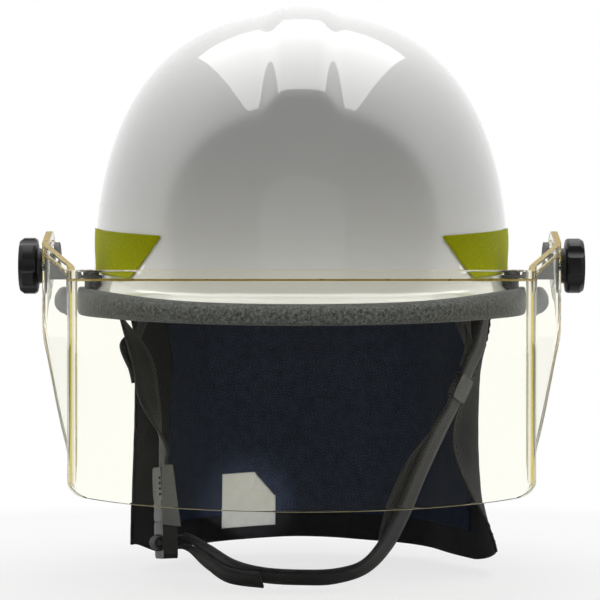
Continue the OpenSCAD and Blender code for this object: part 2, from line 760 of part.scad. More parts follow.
module hanger_rivets() {
  color("silver")
    for (a = hanger_turns)
      at_hanger(a)
        translate([0, 0, stud_z])
          rotate([0, 90, 0]) {
            translate([0, 0, -1.5])
              cylinder(d = stud_d * 1.7, h = 1.2, $fn = 32);
            translate([0, 0, -0.8])
              cylinder(d = stud_d, h = tab_out + hanger_t + 0.8, $fn = 32);
            translate([0, 0, tab_out + hanger_t])
              cylinder(d = stud_d * 1.7, h = 1.2, $fn = 32);
          }
}

// Crown strap: an arch whose ends lie flat on the inner faces of two hangers
crown_low = band_h / 2 + 3;
crown_bend = 0.85;
crown_steps = 28;
module crown_strap(a, top) {
  reach = norm(band_point(a));
  lean = band_face(a) - a;
  function arch(t, out, across) =
    let (c = pow(abs(cos(t)), crown_bend) * sign(cos(t)), turn = a + lean * (1 - sin(t)))
    concat(reach * c * [cos(a), sin(a)] + (tab_out + out) * c * [cos(turn), sin(turn)]
      + across * [-sin(turn), cos(turn)], crown_low + (top + out - crown_low) * pow(sin(t), crown_bend));
  half = crown_web_w / 2;
  color([0.1, 0.1, 0.11])
    loft([for (i = [0 : crown_steps]) let (t = 180 * i / crown_steps)
      [arch(t, 0, -half), arch(t, 0, half), arch(t, -crown_web_t, half), arch(t, -crown_web_t, -half)]]);
}
web_step = crown_web_t + 0.7;
module crown_strap_long() { crown_strap(50, crown_top); }
module crown_strap_left() { crown_strap(130, crown_top - web_step); }
module crown_strap_right() { crown_strap(0, crown_top - 2 * web_step); }

// Cushion on an oval plan under the crossing of the straps, as bent as the lowest of them
module crown_pad() {
  rows = 5;
  us = [for (i = [0 : 23]) i * 15];
  top = crown_top - 2 * web_step - crown_web_t - 0.6;
  function fall(r) = (top - crown_low)
    * (1 - pow(sin(acos(pow(r / (band_half_w - 1), 1 / crown_bend))), crown_bend));
  function pad(u, t, side) =
    let (x = 36 * t * cos(u), y = 44 * t * sin(u), w = sqrt(1 - pow(t, 4)))
    [x, y, top - fall(norm([x, y])) - (side > 0 ? 1.6 * (1 - w) : 2 + 5 * w)];
  color("dimgray")
    sheet([for (i = [0 : rows]) [for (u = us) pad(u, 1 - i / (rows + 1), 1)]],
      [for (i = [0 : rows]) [for (u = us) pad(u, 1 - i / (rows + 1), -1)]],
      true, [pad(0, 0, 1), pad(0, 0, -1)]);
}

// Padded band on the inner face of the headband between two directions
module band_pad(from, to, low, high, thick, cols) {
  rows = 6;
  function bulge(s, t) = 0.4 + (thick - 0.4) * pow(max(0, sin(180 * t) * min(1, 6 * sin(180 * s))), 0.5);
  function at(i, j, out) =
    let (s = i / cols, t = j / rows, p = at_band(mix(from, to, s), out))
    [p[0], p[1], mix(low, high, t)];
  sheet([for (j = [0 : rows]) [for (i = [0 : cols]) at(i, j, -0.3)]],
    [for (j = [0 : rows]) [for (i = [0 : cols]) at(i, j, -0.3 - bulge(i / cols, j / rows))]]);
}
module brow_pad() { color("black") band_pad(218, 322, band_low + 1, stud_z - 5, 4, 30); }

// Nape pad on the inner face of the ratchet base
module nape_pad() {
  cols = 12;
  rows = 6;
  w = tail_in_x - 2;
  function bulge(i, j) = 0.4 + 4 * pow(max(0, sin(180 * i / cols) * sin(180 * j / rows)), 0.4);
  function at(i, j, y) = [w - 2 * w * i / cols, y, mix(-13, 13, j / rows)];
  color("black")
    sheet([for (j = [0 : rows]) [for (i = [0 : cols]) at(i, j, base_y - 0.3)]],
      [for (j = [0 : rows]) [for (i = [0 : cols]) at(i, j, base_y - 0.3 - bulge(i, j))]]);
}

// Nape adjuster, from the tails backwards: base, racks and pinion, cover, knob
base_y = tail_y + band_t;
rack_y = base_y + housing_wall + run_gap;
cover_in_y = rack_y + rack_w + run_gap;
cover_out_y = cover_in_y + housing_wall;
dial_y = cover_out_y + run_gap;
housing_screw_x = 26;
housing_screw_z = 3.4;
housing_screw_d = 2.5;
tooth_module = 2 * pinion_r / pinion_teeth;
tooth_pitch = PI * tooth_module;
rack_high = pinion_r + 1.25 * tooth_module + rack_back;

module housing_plate(y, t) {
  translate([0, y + t, 0])
    rotate([90, 0, 0])
      linear_extrude(height = t)
        offset(r = 4, $fn = 32)
          square([2 * housing_half_w - 8, 2 * housing_half_h - 8], center = true);
}
module housing_bores(d) {
  for (x = [-1, 1] * housing_screw_x, z = [-1, 1] * housing_screw_z)
    translate([x, base_y - 20, z])
      rotate([-90, 0, 0])
        cylinder(d = d, h = 60, $fn = 32);
}

module ratchet_base() {
  color([0.12, 0.12, 0.12])
    difference() {
      housing_plate(base_y, housing_wall);
      housing_bores(housing_screw_d + 2 * slip);
      translate([0, base_y - 1, 0])
        rotate([-90, 0, 0])
          cylinder(d = shaft_d + 2 * run_gap, h = housing_wall + 2, $fn = 48);
    }
}

module ratchet_cover() {
  slot_low = pinion_r - tooth_module - run_gap;
  slot_h = rack_high - slot_low + run_gap;
  color([0.12, 0.12, 0.12])
    difference() {
      housing_plate(base_y + housing_wall, cover_out_y - base_y - housing_wall);
      for (s = [0, 180])
        rotate([0, s, 0])
          translate([-housing_half_w - 1, base_y, slot_low])
            cube([2 * housing_half_w + 2, cover_in_y - base_y, slot_h]);
      translate([0, base_y, 0])
        rotate([-90, 0, 0])
          cylinder(r = pinion_r + 1.6 * tooth_module, h = cover_in_y - base_y, $fn = 64);
      translate([0, base_y, 0])
        rotate([-90, 0, 0])
          cylinder(d = shaft_d + 2 * run_gap, h = 40, $fn = 48);
      housing_bores(housing_screw_d + 2 * slip);
    }
}

module ratchet_screws() {
  color("silver")
    for (x = [-1, 1] * housing_screw_x, z = [-1, 1] * housing_screw_z)
      translate([x, 0, z])
        rotate([-90, 0, 0]) {
          translate([0, 0, tail_y - 1])
            cylinder(d = housing_screw_d * 1.8, h = 1, $fn = 32);
          translate([0, 0, tail_y - 0.5])
            cylinder(d = housing_screw_d, h = cover_out_y - tail_y + 0.5, $fn = 32);
          translate([0, 0, cover_out_y])
            cylinder(d = housing_screw_d * 1.8, h = 1.2, $fn = 32);
        }
}

// Involute tooth flank: angle by which the flank has turned at a given radius
pressure = 20;
function involute(r, base_r) =
  let (a = acos(min(1, base_r / r))) tan(a) * 180 / PI - a;
function tooth_half(r) =
  let (base_r = pinion_r * cos(pressure), at_pitch = 90 / pinion_teeth
         - tooth_play / 4 / pinion_r * 180 / PI)
  at_pitch + involute(pinion_r, base_r) - involute(max(r, base_r), base_r);

module pinion_outline() {
  tip = pinion_r + tooth_module;
  foot = pinion_r - 1.2 * tooth_module;
  rs = [foot, pinion_r * cos(pressure) + 0.05, pinion_r, pinion_r + tooth_module / 2, tip];
  polygon([for (i = [0 : pinion_teeth - 1]) let (mid = 90 + i * 360 / pinion_teeth)
    each concat([for (r = rs) let (a = mid - tooth_half(r)) r * [cos(a), sin(a)]],
      [for (k = [4 : -1 : 0]) let (r = rs[k], a = mid + tooth_half(r)) r * [cos(a), sin(a)]])]);
}

shaft_end_y = dial_y + dial_t - 2.5;
module pinion() {
  color("white")
    union() {
      translate([0, rack_y + rack_w, 0])
        rotate([90, 0, 0])
          linear_extrude(height = rack_w)
            pinion_outline();
      translate([0, base_y + run_gap, 0])
        rotate([-90, 0, 0])
          cylinder(d = shaft_d, h = dial_y - base_y - run_gap - 0.05, $fn = 48);
      translate([-2, dial_y - 1, -2])
        cube([4, shaft_end_y - dial_y + 1, 4]);
    }
}

// Rack with its gap over the pinion's upright tooth, seen from behind the head
rack_teeth = 5;
rack_tail = 42;
module rack() {
  half_tooth = tooth_pitch / 4 - tooth_play / 4;
  tip = pinion_r - tooth_module + 0.1;
  foot = pinion_r + 1.2 * tooth_module;
  lean = tan(pressure);
  translate([0, rack_y + rack_w, 0])
    rotate([90, 0, 0])
      linear_extrude(height = rack_w)
        polygon(concat(
          [[-rack_teeth * tooth_pitch, rack_high], [-rack_teeth * tooth_pitch, foot]],
          [for (i = [-rack_teeth : rack_teeth - 1])
            let (x = (i + 0.5) * tooth_pitch, a = half_tooth + (foot - pinion_r) * lean,
                 b = half_tooth - (pinion_r - tip) * lean)
              each [[x - a, foot], [x - b, tip], [x + b, tip], [x + a, foot]]],
          [[rack_tail, foot], [rack_tail, rack_high]]));
  translate([rack_tail, rack_y, foot])
    cube([3, rack_w + 2, rack_high - foot]);
}
module rack_right() { color("white") rack(); }
module rack_left() { color("white") rotate([0, 180, 0]) rack(); }

// Ratchet knob: a dial with grip ribs on the pinion's square end
dial_ribs = 18;
module ratchet_knob() {
  color([0.1, 0.1, 0.1])
    difference() {
      translate([0, dial_y, 0])
        rotate([-90, 0, 0])
          difference() {
            rotate_extrude($fn = 96)
              polygon([[0, 0], [dial_d / 2 - 1, 0], [dial_d / 2, 1],
                [dial_d / 2, dial_t - 3], [dial_d / 2 - 3, dial_t], [dial_d * 0.28, dial_t],
                [dial_d * 0.25, dial_t - 1.2], [0, dial_t - 1.2]]);
            for (i = [0 : dial_ribs - 1])
              rotate(i * 360 / dial_ribs)
                translate([dial_d / 2 + 0.9, 0, 1.5])
                  cylinder(r = 2, h = dial_t, $fn = 24);
          }
      translate([-2.1, dial_y - 1, -2.1])
        cube([4.2, shaft_end_y - dial_y + 1.1, 4.2]);
    }
}

// Chin strap anchors: plates with a slot, pegged into the liner's rim
anchor_turns = [-14, 16];
anchor_backs = [3, -7];
anchor_low = 2;
anchor_bar = 3;
anchor_w = 26;
anchor_t = 2;
function anchor_peg(k) =
  let (turn = anchor_turns[k], w = liner_in_w + liner_t / 2,
       l = liner_t / 2 + (turn < 0 ? liner_in_front : liner_in_back))
  [w * cos(turn), l * sin(turn), 0];
function anchor_face(k) =
  let (p = anchor_peg(k), l = p[1] < 0 ? liner_in_front : liner_in_back)
  atan2(p[1] / pow(l, 2), p[0] / pow(liner_in_w, 2));

module chin_anchors() {
  color([0.1, 0.1, 0.1])
    mirrored()
      for (k = [0, 1])
        translate(anchor_peg(k))
          rotate([0, 0, anchor_face(k)])
            difference() {
              inner = anchor_backs[k] - anchor_t;
              union() {
                translate([inner, -anchor_w / 2, anchor_low])
                  cube([anchor_t, anchor_w, liner_base - anchor_low]);
                translate([min(inner, -peg_d * 0.6), -peg_d * 0.8, liner_base - 2])
                  cube([peg_d * 0.6 - min(inner, -peg_d * 0.6), peg_d * 1.6, 2]);
                translate([0, 0, liner_base - 1])
                  cylinder(d = peg_d, h = peg_h + 1, $fn = 32);
              }
              translate([inner - 1, -web_w / 2 - 1, anchor_low + anchor_bar])
                cube([anchor_t + 2, web_w + 2, 3.5]);
            }
}

// A flat web along a route: points with the direction of its width
module ribbon(route, spread, each_span) {
  function along(list, s) =
    let (k = min(len(list) - 2, floor(s)), t = s - k,
         a = list[max(0, k - 1)], b = list[k], c = list[k + 1],
         d = list[min(len(list) - 1, k + 2)])
    0.5 * (2 * b + (c - a) * t + (2 * a - 5 * b + 4 * c - d) * t * t
      + (3 * b - a - 3 * c + d) * t * t * t);
  span = len(route) - 1;
  steps = span * each_span;
  loft([for (i = [0 : steps])
    let (s = span * i / steps, p = along(route, s),
         ahead = unit(along(route, min(span, s + 0.02)) - along(route, max(0, s - 0.02))),
         w0 = along(spread, s), w = unit(w0 - ahead * (w0 * ahead)), n = cross(ahead, w))
      [p - w * web_w / 2 + n * web_t / 2, p - w * web_w / 2 - n * web_t / 2,
       p + w * web_w / 2 - n * web_t / 2, p + w * web_w / 2 + n * web_t / 2]]);
}

// The loop of a web over the bar of an anchor, from its sewn end on the outside inwards
loop_r = 2.5;
function loop_points(k, side) =
  let (p = anchor_peg(k), f = anchor_face(k), mid = anchor_backs[k] - anchor_t / 2,
       z0 = anchor_low + anchor_bar - 0.5,
       flat = concat([[mid + loop_r, z0 - 9]],
         [for (u = [0 : 45 : 180]) [mid + loop_r * cos(u), z0 + loop_r * sin(u)]],
         [[mid - loop_r, z0 - 10]]))
  [for (q = flat) [side * (p[0] + q[0] * cos(f)), p[1] + q[0] * sin(f), q[1]]];
function loop_spread(k, side) =
  let (f = anchor_face(k)) [for (i = [0 : 6]) [-side * sin(f), cos(f), 0]];

// A direction turned by c about Z, then by a about X, then by b about Y
function turned(a, b, c, v) =
  let (x = v[0] * cos(c) - v[1] * sin(c), y1 = v[0] * sin(c) + v[1] * cos(c),
       y = y1 * cos(a) - v[2] * sin(a), z = y1 * sin(a) + v[2] * cos(a))
  [x * cos(b) + z * sin(b), y, z * cos(b) - x * sin(b)];

// Upper end of the buckle, the way down through it and its turn about that line
buckle_at = [-76.5, -40, -94];
buckle_dir = unit([2, -5, -52]);
buckle_twist = -76;
buckle_turns = [asin(buckle_dir[1]), -atan2(buckle_dir[0], -buckle_dir[2]), buckle_twist];
function in_buckle(v) = turned(buckle_turns[0], buckle_turns[1], buckle_turns[2], v);
buckle_wide = in_buckle([-1, 0, 0]);
slot_high = 3;
slot_levels = [4.2, 10.3];
function slot_z(i) = -female_l - run_gap - male_l + slot_levels[i] + slot_high / 2;
// Upper end of the slide, the way up through it and the way across it
slide_at = [91.5, -31, -44];
slide_dir = unit([13.9, 3, 30.6]);
slide_l = 14;
slide_end = slide_at - slide_dir * slide_l;
slide_twist = 68;
slide_turns = [asin(-slide_dir[1]), -atan2(-slide_dir[0], slide_dir[2]), slide_twist];
slide_wide = turned(slide_turns[0], slide_turns[1], slide_turns[2], [1, 0, 0]);
pocket_deep = 4;
side_step = web_t + 0.8;

left_seam = [[-89.5, -31, -34], [-85, -33.5, -56]];
left_way = unit(left_seam[1] - left_seam[0]);
left_wide = [0.5, 0.86, 0.1];
left_side = unit(cross(left_wide, left_way)) * side_step;
right_side = unit(cross(slide_dir, slide_wide)) * side_step;
route_left_front = concat(loop_points(0, -1), left_seam,
  [buckle_at - buckle_dir * 12, buckle_at - buckle_dir * 4, buckle_at + buckle_dir * pocket_deep]);
spread_left_front = concat(loop_spread(0, -1),
  [left_wide, left_wide, buckle_wide, buckle_wide, buckle_wide]);
route_left_rear = concat(loop_points(1, -1), [[-94.5, 12, -19], [-95.5, -12, -28],
  left_seam[0] - left_way * 3 + left_side * 2.4, left_seam[0] + left_way * 5 + left_side * 1.2,
  left_seam[0] + left_way * 13 + left_side * 1.1]);
spread_left_rear = concat(loop_spread(1, -1), [[0, 0.45, -0.9], [0, 0.45, -0.9],
  left_wide - [0, 0, 0.3], left_wide, left_wide]);
route_right_front = concat(loop_points(0, 1), [slide_at + slide_dir * 20,
  slide_at + slide_dir * 10, slide_at + slide_dir * 4, slide_at - slide_dir * pocket_deep]);
spread_right_front = concat(loop_spread(0, 1), [slide_wide, slide_wide, slide_wide, slide_wide]);
route_right_rear = concat(loop_points(1, 1), [[94, 12, -17], [95, -12, -22],
  slide_at + slide_dir * 20 + right_side * 2.4, slide_at + slide_dir * 12 + right_side * 1.3,
  slide_at + slide_dir * 4 + right_side]);
spread_right_rear = concat(loop_spread(1, 1), [[0, 0.45, -0.9], [0, 0.45, -0.9],
  slide_wide, slide_wide, slide_wide]);
// The chin web is doubled through the buckle's slots and sewn to itself
bar_r = (slot_z(1) - slot_z(0)) / 2;
bar_z = (slot_z(1) + slot_z(0)) / 2;
route_chin = concat([[-22, -60, -154.2], [-40, -56, -152], [-52, -49, -145.5]],
  [for (q = [[12, slot_z(0) - 1], [7, slot_z(0)], [buckle_t / 2, slot_z(0)]])
    buckle_at + in_buckle([0, q[0], q[1]])],
  [for (u = [-90 : 45 : 90]) buckle_at + in_buckle([0, -buckle_t / 2 - bar_r * cos(u),
    bar_z + bar_r * sin(u)])],
  [for (q = [[buckle_t / 2, slot_z(1)], [7, slot_z(1)], [12, slot_z(1) - 1]])
    buckle_at + in_buckle([0, q[0], q[1]])],
  [[-50, -49, -140.5], [-36, -56, -148], [-20, -60, -151.5], [0, -61.5, -152.5],
   [18, -60.5, -152], [34, -56, -147.5], [46, -50, -136], [56, -44, -119], [66, -39, -96],
   [76, -35, -75], slide_end - slide_dir * 7, slide_end - slide_dir * 2,
   slide_end + slide_dir * pocket_deep]);
chin_low = [0, 0.87, -0.5];
cheek_wide = [0.35, 0.9, -0.3];
spread_chin = concat([chin_low, chin_low, [-0.1, 0.9, -0.4]], [for (i = [1 : 11]) buckle_wide],
  [[-0.1, 0.9, -0.4], chin_low, chin_low, chin_low, chin_low, [0.2, 0.9, -0.4],
   cheek_wide, cheek_wide, cheek_wide, cheek_wide,
   slide_wide, slide_wide, slide_wide]);

module web_left_front() { color("black") ribbon(route_left_front, spread_left_front, 3); }
module web_left_rear() { color("black") ribbon(route_left_rear, spread_left_rear, 3); }
module web_right_front() { color("black") ribbon(route_right_front, spread_right_front, 3); }
module web_right_rear() { color("black") ribbon(route_right_rear, spread_right_rear, 3); }
// Free end of the chin web, led back from the slide and sewn down at both ends
route_tail = [[75.2, -35.3, -76.6], [69, -36.4, -84], [60.2, -39.6, -96], [51.6, -44.2, -114],
  [47.2, -48, -128], [45.6, -50.2, -136.4]];
spread_tail = [for (p = route_tail) cheek_wide];
module chin_web() {
  color("black") {
    ribbon(route_chin, spread_chin, 3);
    ribbon(route_tail, spread_tail, 3);
  }
}

// Buckle on the left, in its own frame: long way down, width along X
module at_buckle() {
  translate(buckle_at)
    rotate([buckle_turns[0], buckle_turns[1], 0])
      rotate([0, 0, buckle_turns[2]])
        children();
}
module rounded_block(w, t, l, r) {
  rotate([90, 0, 0])
    translate([0, 0, -t / 2])
      linear_extrude(height = t)
        offset(r = r, $fn = 32)
          translate([-w / 2 + r, -l + r])
            square([w - 2 * r, l - 2 * r]);
}
// Pocket in an end face that takes the last of a web
module web_pocket(z) {
  translate([-web_w / 2 - 0.5, -web_t / 2 - 0.4, z])
    cube([web_w + 1, web_t + 0.8, pocket_deep + 2]);
}
module buckle_female() {
  color([0.07, 0.07, 0.07])
    at_buckle()
      difference() {
        union() {
          rounded_block(buckle_w, buckle_t, female_l, 3);
          for (z = [-6.5 : -3 : -15.5])
            translate([-buckle_w / 2 + 3, -buckle_t / 2 - 0.8, z])
              cube([buckle_w - 6, 1.6, 1.3]);
        }
        web_pocket(-pocket_deep - 1);
        translate([-buckle_w / 2 + 2, -buckle_t / 2 + 1.8, -female_l - 1])
          cube([buckle_w - 4, buckle_t - 3.6, 16]);
        for (s = [-1, 1])
          translate([s * buckle_w / 2 - 2, -buckle_t, -female_l + 5])
            cube([4, 2 * buckle_t, 7]);
      }
}
module buckle_male() {
  prong_t = buckle_t - 3.6 - 2 * run_gap;
  color([0.07, 0.07, 0.07])
    at_buckle() {
      difference() {
        translate([0, 0, -female_l - run_gap])
          rounded_block(buckle_w, buckle_t, male_l, 3);
        for (i = [0, 1])
          translate([-web_w / 2 - 0.5, -buckle_t, slot_z(i) - slot_high / 2])
            cube([web_w + 1, 2 * buckle_t, slot_high]);
      }
      for (x = [-buckle_w / 2 + 3.2, -1.4, buckle_w / 2 - 6])
        translate([x, -prong_t / 2, -female_l - run_gap - 2])
          cube([2.8, prong_t, 14.5]);
    }
}

// Slide on the right where both webs meet the chin web
module strap_slide() {
  color([0.07, 0.07, 0.07])
    translate(slide_at)
      rotate([slide_turns[0], slide_turns[1], 0])
        rotate([0, 0, slide_turns[2]])
          difference() {
            rounded_block(web_w + 6, 4, slide_l, 2);
            web_pocket(-pocket_deep - 1);
            web_pocket(-slide_l - 1);
          }
}

// Bare sewn tag that hangs over the front edge of the buckle
module strap_tag() {
  color("silver")
    at_buckle()
      translate([buckle_w / 2 + 1, 0, -female_l - 3])
        rotate([90, 0, -90])
          linear_extrude(height = 0.7)
            polygon([[-6, 0], [4.5, 1.5], [3.5, female_l + 4], [-2.5, female_l + 4]]);
}

// Neck curtain: hangs from inside the shell round the back, with soft upright folds
curtain_top_w = liner_in_w + liner_t + 0.2;
curtain_top_l = liner_in_back + liner_t + 0.2;
curtain_top_z = liner_base - 0.6;
curtain_from = 2;
curtain_to = 164;
curtain_cols = 40;
curtain_rows = 11;
function curtain_point(s, t, out) =
  let (turn = mix(curtain_from, curtain_to, s), drop = 1 - t,
       low = curtain_low - 6 * pow(cos(turn), 2) + 10 * ease(abs(2 * s - 1) * 4 - 3),
       z = mix(low, curtain_top_z, t),
       in = (6 + 7 * pow(sin(turn), 2)) * ease(drop * 6) - 5 * drop,
       fold = fold_depth * ease(drop * 3) * sin(turn * 9) * (0.6 + 0.4 * sin(turn * 2)),
       curl = 24 * ease(1 - abs(drop - 0.62) / 0.42) * ease(1 - s * 9),
       side = 8 * ease((s - 0.55) * 2.5) * ease(drop * 3.5 - 0.25),
       w = curtain_top_w - in + fold - side + out, l = curtain_top_l - in * 1.4 + fold + out,
       p = egg(turn, w, w, l))
  [p[0] - curl, p[1], z];

module curtain_sheet(s0, s1, t0, t1, cols, rows, out, thick) {
  ss = [for (i = [0 : cols]) mix(s0, s1, i / cols)];
  ts = [for (i = [0 : rows]) mix(t0, t1, i / rows)];
  sheet([for (t = ts) [for (s = ss) curtain_point(s, t, out)]],
    [for (t = ts) [for (s = ss) curtain_point(s, t, out - thick)]]);
}
module neck_curtain() {
  color([0.09, 0.09, 0.1])
    curtain_sheet(0, 1, 0, 1, curtain_cols, curtain_rows, 0, cloth_t);
}
module curtain_lining() {
  color("midnightblue")
    curtain_sheet(5 / curtain_cols, 1 - 5 / curtain_cols, 1 / curtain_rows, 1 - 1 / curtain_rows,
      curtain_cols - 10, curtain_rows - 2, -cloth_t - 0.35, 0.9);
}
module curtain_label() {
  color("white")
    curtain_sheet(24 / curtain_cols, 29 / curtain_cols, 0.5 / curtain_rows, 2.6 / curtain_rows,
      4, 4, -cloth_t - 1.6, 0.5);
}

// Rear hanger: a folded strap riveted under the brim, with a free ring
module at_ring() {
  tilt = asin(face_normal(90, ring_v)[1]);
  translate(inset(90, ring_v, shell_wall + slip))
    rotate([-tilt, 0, 0])
      children();
}
ring_mid = ring_in_d / 2 + ring_wire_d / 2;
ring_eye_r = ring_wire_d / 2 + run_gap + ring_plate_t;

module ring_bracket() {
  color("dimgray")
    at_ring()
      difference() {
        union() {
          translate([-ring_half, -8, -ring_plate_t])
            cube([2 * ring_half, 8 + ring_arm, ring_plate_t]);
          translate([-ring_half, ring_arm, -ring_eye_r])
            rotate([0, 90, 0])
              cylinder(r = ring_eye_r, h = 2 * ring_half, $fn = 48);
        }
        translate([-ring_half - 2, ring_arm, -ring_eye_r])
          rotate([0, 90, 0])
            cylinder(d = ring_wire_d + 2 * run_gap, h = 2 * ring_half + 4, $fn = 48);
        ring_bores();
      }
}
module ring_bores() {
  for (x = [-1, 1] * ring_rivet_x)
    translate([x, 0, -20])
      cylinder(d = ring_rivet_d + 2 * slip, h = 40, $fn = 32);
}

module ring_rivets() {
  top = shell_wall + 2 * slip;
  color("silver")
    at_ring()
      for (x = [-1, 1] * ring_rivet_x)
        translate([x, 0, 0]) {
          translate([0, 0, -ring_plate_t - 1.5])
            cylinder(d = ring_rivet_d * 1.9, h = 1.5, $fn = 32);
          translate([0, 0, -ring_plate_t - 1])
            cylinder(d = ring_rivet_d, h = top + ring_plate_t + 1.5, $fn = 32);
          translate([0, 0, top])
            dome_head(ring_rivet_d * 1.9, 1.6, 0.01);
        }
}

// The ring hangs straight down from its eye
ring_eye = inset(90, ring_v, shell_wall + slip) + ring_down(ring_arm, -ring_eye_r);
function ring_down(y, z) = let (n = face_normal(90, ring_v)) [0, n[2] * y + n[1] * z,
  -n[1] * y + n[2] * z];
module hanging_ring() {
  color("silver")
    translate(ring_eye) {
      translate([-ring_mid, 0, 0])
        rotate([0, 90, 0])
          cylinder(d = ring_wire_d, h = 2 * ring_mid, $fn = 32);
      rotate([-90, 0, 0])
        rotate_extrude(angle = 180, $fn = 64)
          translate([ring_mid, 0])
            circle(d = ring_wire_d, $fn = 24);
      for (s = [-1, 1] * ring_mid)
        translate([s, 0, 0])
          sphere(d = ring_wire_d, $fn = 24);
    }
}

shell();
edge_trim();
reflective_trims();
impact_liner();
bracket_left();
bracket_right();
bracket_pads();
bracket_screws();
bracket_nuts();
pivot_bolts();
washers_inner();
washers_outer();
knob_left();
knob_right();
faceshield();
headband();
strap_hangers();
hanger_rivets();
crown_strap_long();
crown_strap_left();
crown_strap_right();
crown_pad();
brow_pad();
nape_pad();
ratchet_base();
ratchet_cover();
ratchet_screws();
pinion();
rack_left();
rack_right();
ratchet_knob();
chin_anchors();
web_left_front();
web_left_rear();
web_right_front();
web_right_rear();
chin_web();
buckle_female();
buckle_male();
strap_slide();
strap_tag();
neck_curtain();
curtain_lining();
curtain_label();
ring_bracket();
ring_rivets();
hanging_ring();
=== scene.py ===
"""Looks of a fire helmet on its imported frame: gloss shell, clear faceshield, suspension,
chin strap and neck curtain. Lengths in the shape functions are in millimetres."""
from math import acos, asin, atan2, cos, degrees, hypot, pi, radians, sin, sqrt, tan

import bmesh
import bpy
from mathutils import Matrix, Vector, noise


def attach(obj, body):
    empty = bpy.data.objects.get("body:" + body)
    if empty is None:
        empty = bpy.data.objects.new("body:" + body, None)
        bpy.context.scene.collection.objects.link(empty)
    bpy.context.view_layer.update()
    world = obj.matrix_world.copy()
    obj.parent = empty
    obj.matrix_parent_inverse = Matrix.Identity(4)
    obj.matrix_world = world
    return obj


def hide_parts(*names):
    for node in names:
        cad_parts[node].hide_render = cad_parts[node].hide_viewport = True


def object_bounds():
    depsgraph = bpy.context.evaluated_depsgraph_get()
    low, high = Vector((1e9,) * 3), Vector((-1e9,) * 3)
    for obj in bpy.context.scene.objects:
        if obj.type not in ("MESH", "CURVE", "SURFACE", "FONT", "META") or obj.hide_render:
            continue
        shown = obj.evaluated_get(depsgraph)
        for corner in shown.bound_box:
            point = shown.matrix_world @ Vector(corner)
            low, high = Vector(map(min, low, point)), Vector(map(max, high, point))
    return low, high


bl_info = {
    "name": "Fire helmet",
    "version": (1, 0, 0),
    "blender": (4, 5, 0),
    "location": "View3D > Sidebar > Helmet",
    "description": "Builds the visible pieces of a fire helmet round its packed frame",
    "category": "Object",
}

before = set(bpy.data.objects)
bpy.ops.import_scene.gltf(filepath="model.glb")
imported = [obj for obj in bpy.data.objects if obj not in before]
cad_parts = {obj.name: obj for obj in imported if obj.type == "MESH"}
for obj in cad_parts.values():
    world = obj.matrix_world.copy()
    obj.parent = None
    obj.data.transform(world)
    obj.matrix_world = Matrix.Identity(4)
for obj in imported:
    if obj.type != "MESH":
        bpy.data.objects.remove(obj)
CAD_BOX = [list(corner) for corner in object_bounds()]
MM = 0.001


# Sizes and places in millimetres, as the frame has them

DOME_W, DOME_FRONT, DOME_BACK, DOME_H, DOME_POWER = 117.5, 138, 142, 159.5, 2.5
RIDGE_H, RIDGE_FLAT, RIDGE_FOOT = 3.5, 9, 23
PANEL_INSET, PANEL_LEAN, PANEL_RADIUS, PANEL_SOFT = 4.4, 8, 125, 0.5
BRIM_W, BRIM_FRONT, BRIM_REAR = 134.5, 165, 200
DROP_FRONT, DROP_BACK, BRIM_SLOPE, FRONT_SLOPE, FLARE_TOP = 4, 12, 16, 7, 24
SHELL_WALL = 3
FLARE_TURN = degrees(asin((FLARE_TOP / DOME_H) ** (DOME_POWER / 2)))
PIVOT_Y, PIVOT_Z = -50, 17.5
SHEET_T, BEAD_H = 3.8, 5.5


# Sizes and colours that a user would change

class ShellSizes(bpy.types.PropertyGroup):
    around: bpy.props.IntProperty(
        name="Steps round the shell", description="Faces round the dome and the brim",
        default=288, min=96, max=360)
    upwards: bpy.props.IntProperty(
        name="Steps up the shell", description="Faces from the edge of the brim to the crown",
        default=132, min=48, max=160)
    wall: bpy.props.FloatProperty(
        name="Wall", description="Thickness of the moulded shell",
        default=SHELL_WALL * MM, unit="LENGTH")
    white: bpy.props.StringProperty(
        name="Shell white", description="Colour of the gloss shell", default="#F2F2F0")


class VisorSizes(bpy.types.PropertyGroup):
    thick: bpy.props.FloatProperty(
        name="Sheet", description="Thickness of the faceshield", default=SHEET_T * MM,
        unit="LENGTH")
    bead: bpy.props.FloatProperty(
        name="Bead", description="Height of the moulded bead along the top edge",
        default=BEAD_H * MM, unit="LENGTH")
    clear: bpy.props.StringProperty(
        name="Sheet colour", description="Tint of the clear sheet", default="#FEFEF4")
    amber: bpy.props.StringProperty(
        name="Edge colour", description="Colour of light caught in the cut edges",
        default="#A8861E")


class ClothSizes(bpy.types.PropertyGroup):
    thread: bpy.props.FloatProperty(
        name="Thread", description="Spacing of the curtain's threads, drawn coarse enough to show",
        default=0.9 * MM, unit="LENGTH")
    stitch: bpy.props.FloatProperty(
        name="Stitch", description="Length of one sewn stitch", default=3.4 * MM, unit="LENGTH")
    shell_cloth: bpy.props.StringProperty(
        name="Outer cloth", description="Colour of the neck curtain", default="#1F1F22")
    lining: bpy.props.StringProperty(
        name="Lining", description="Colour of the flannel lining", default="#283046")


# Shape of the shell

def mix(a, b, t):
    return a + (b - a) * t


def ease(t):
    c = min(1, max(0, t))
    return c * c * (3 - 2 * c)


def bezier(p, t):
    s = 1 - t
    return p[0] * s ** 3 + p[1] * 3 * s * s * t + p[2] * 3 * s * t * t + p[3] * t ** 3


def vectors(*rows):
    return [Vector(row) for row in rows]


def egg(turn, half_w, front, back):
    a = radians(turn)
    return half_w * cos(a), (front if sin(a) < 0 else back) * sin(a)


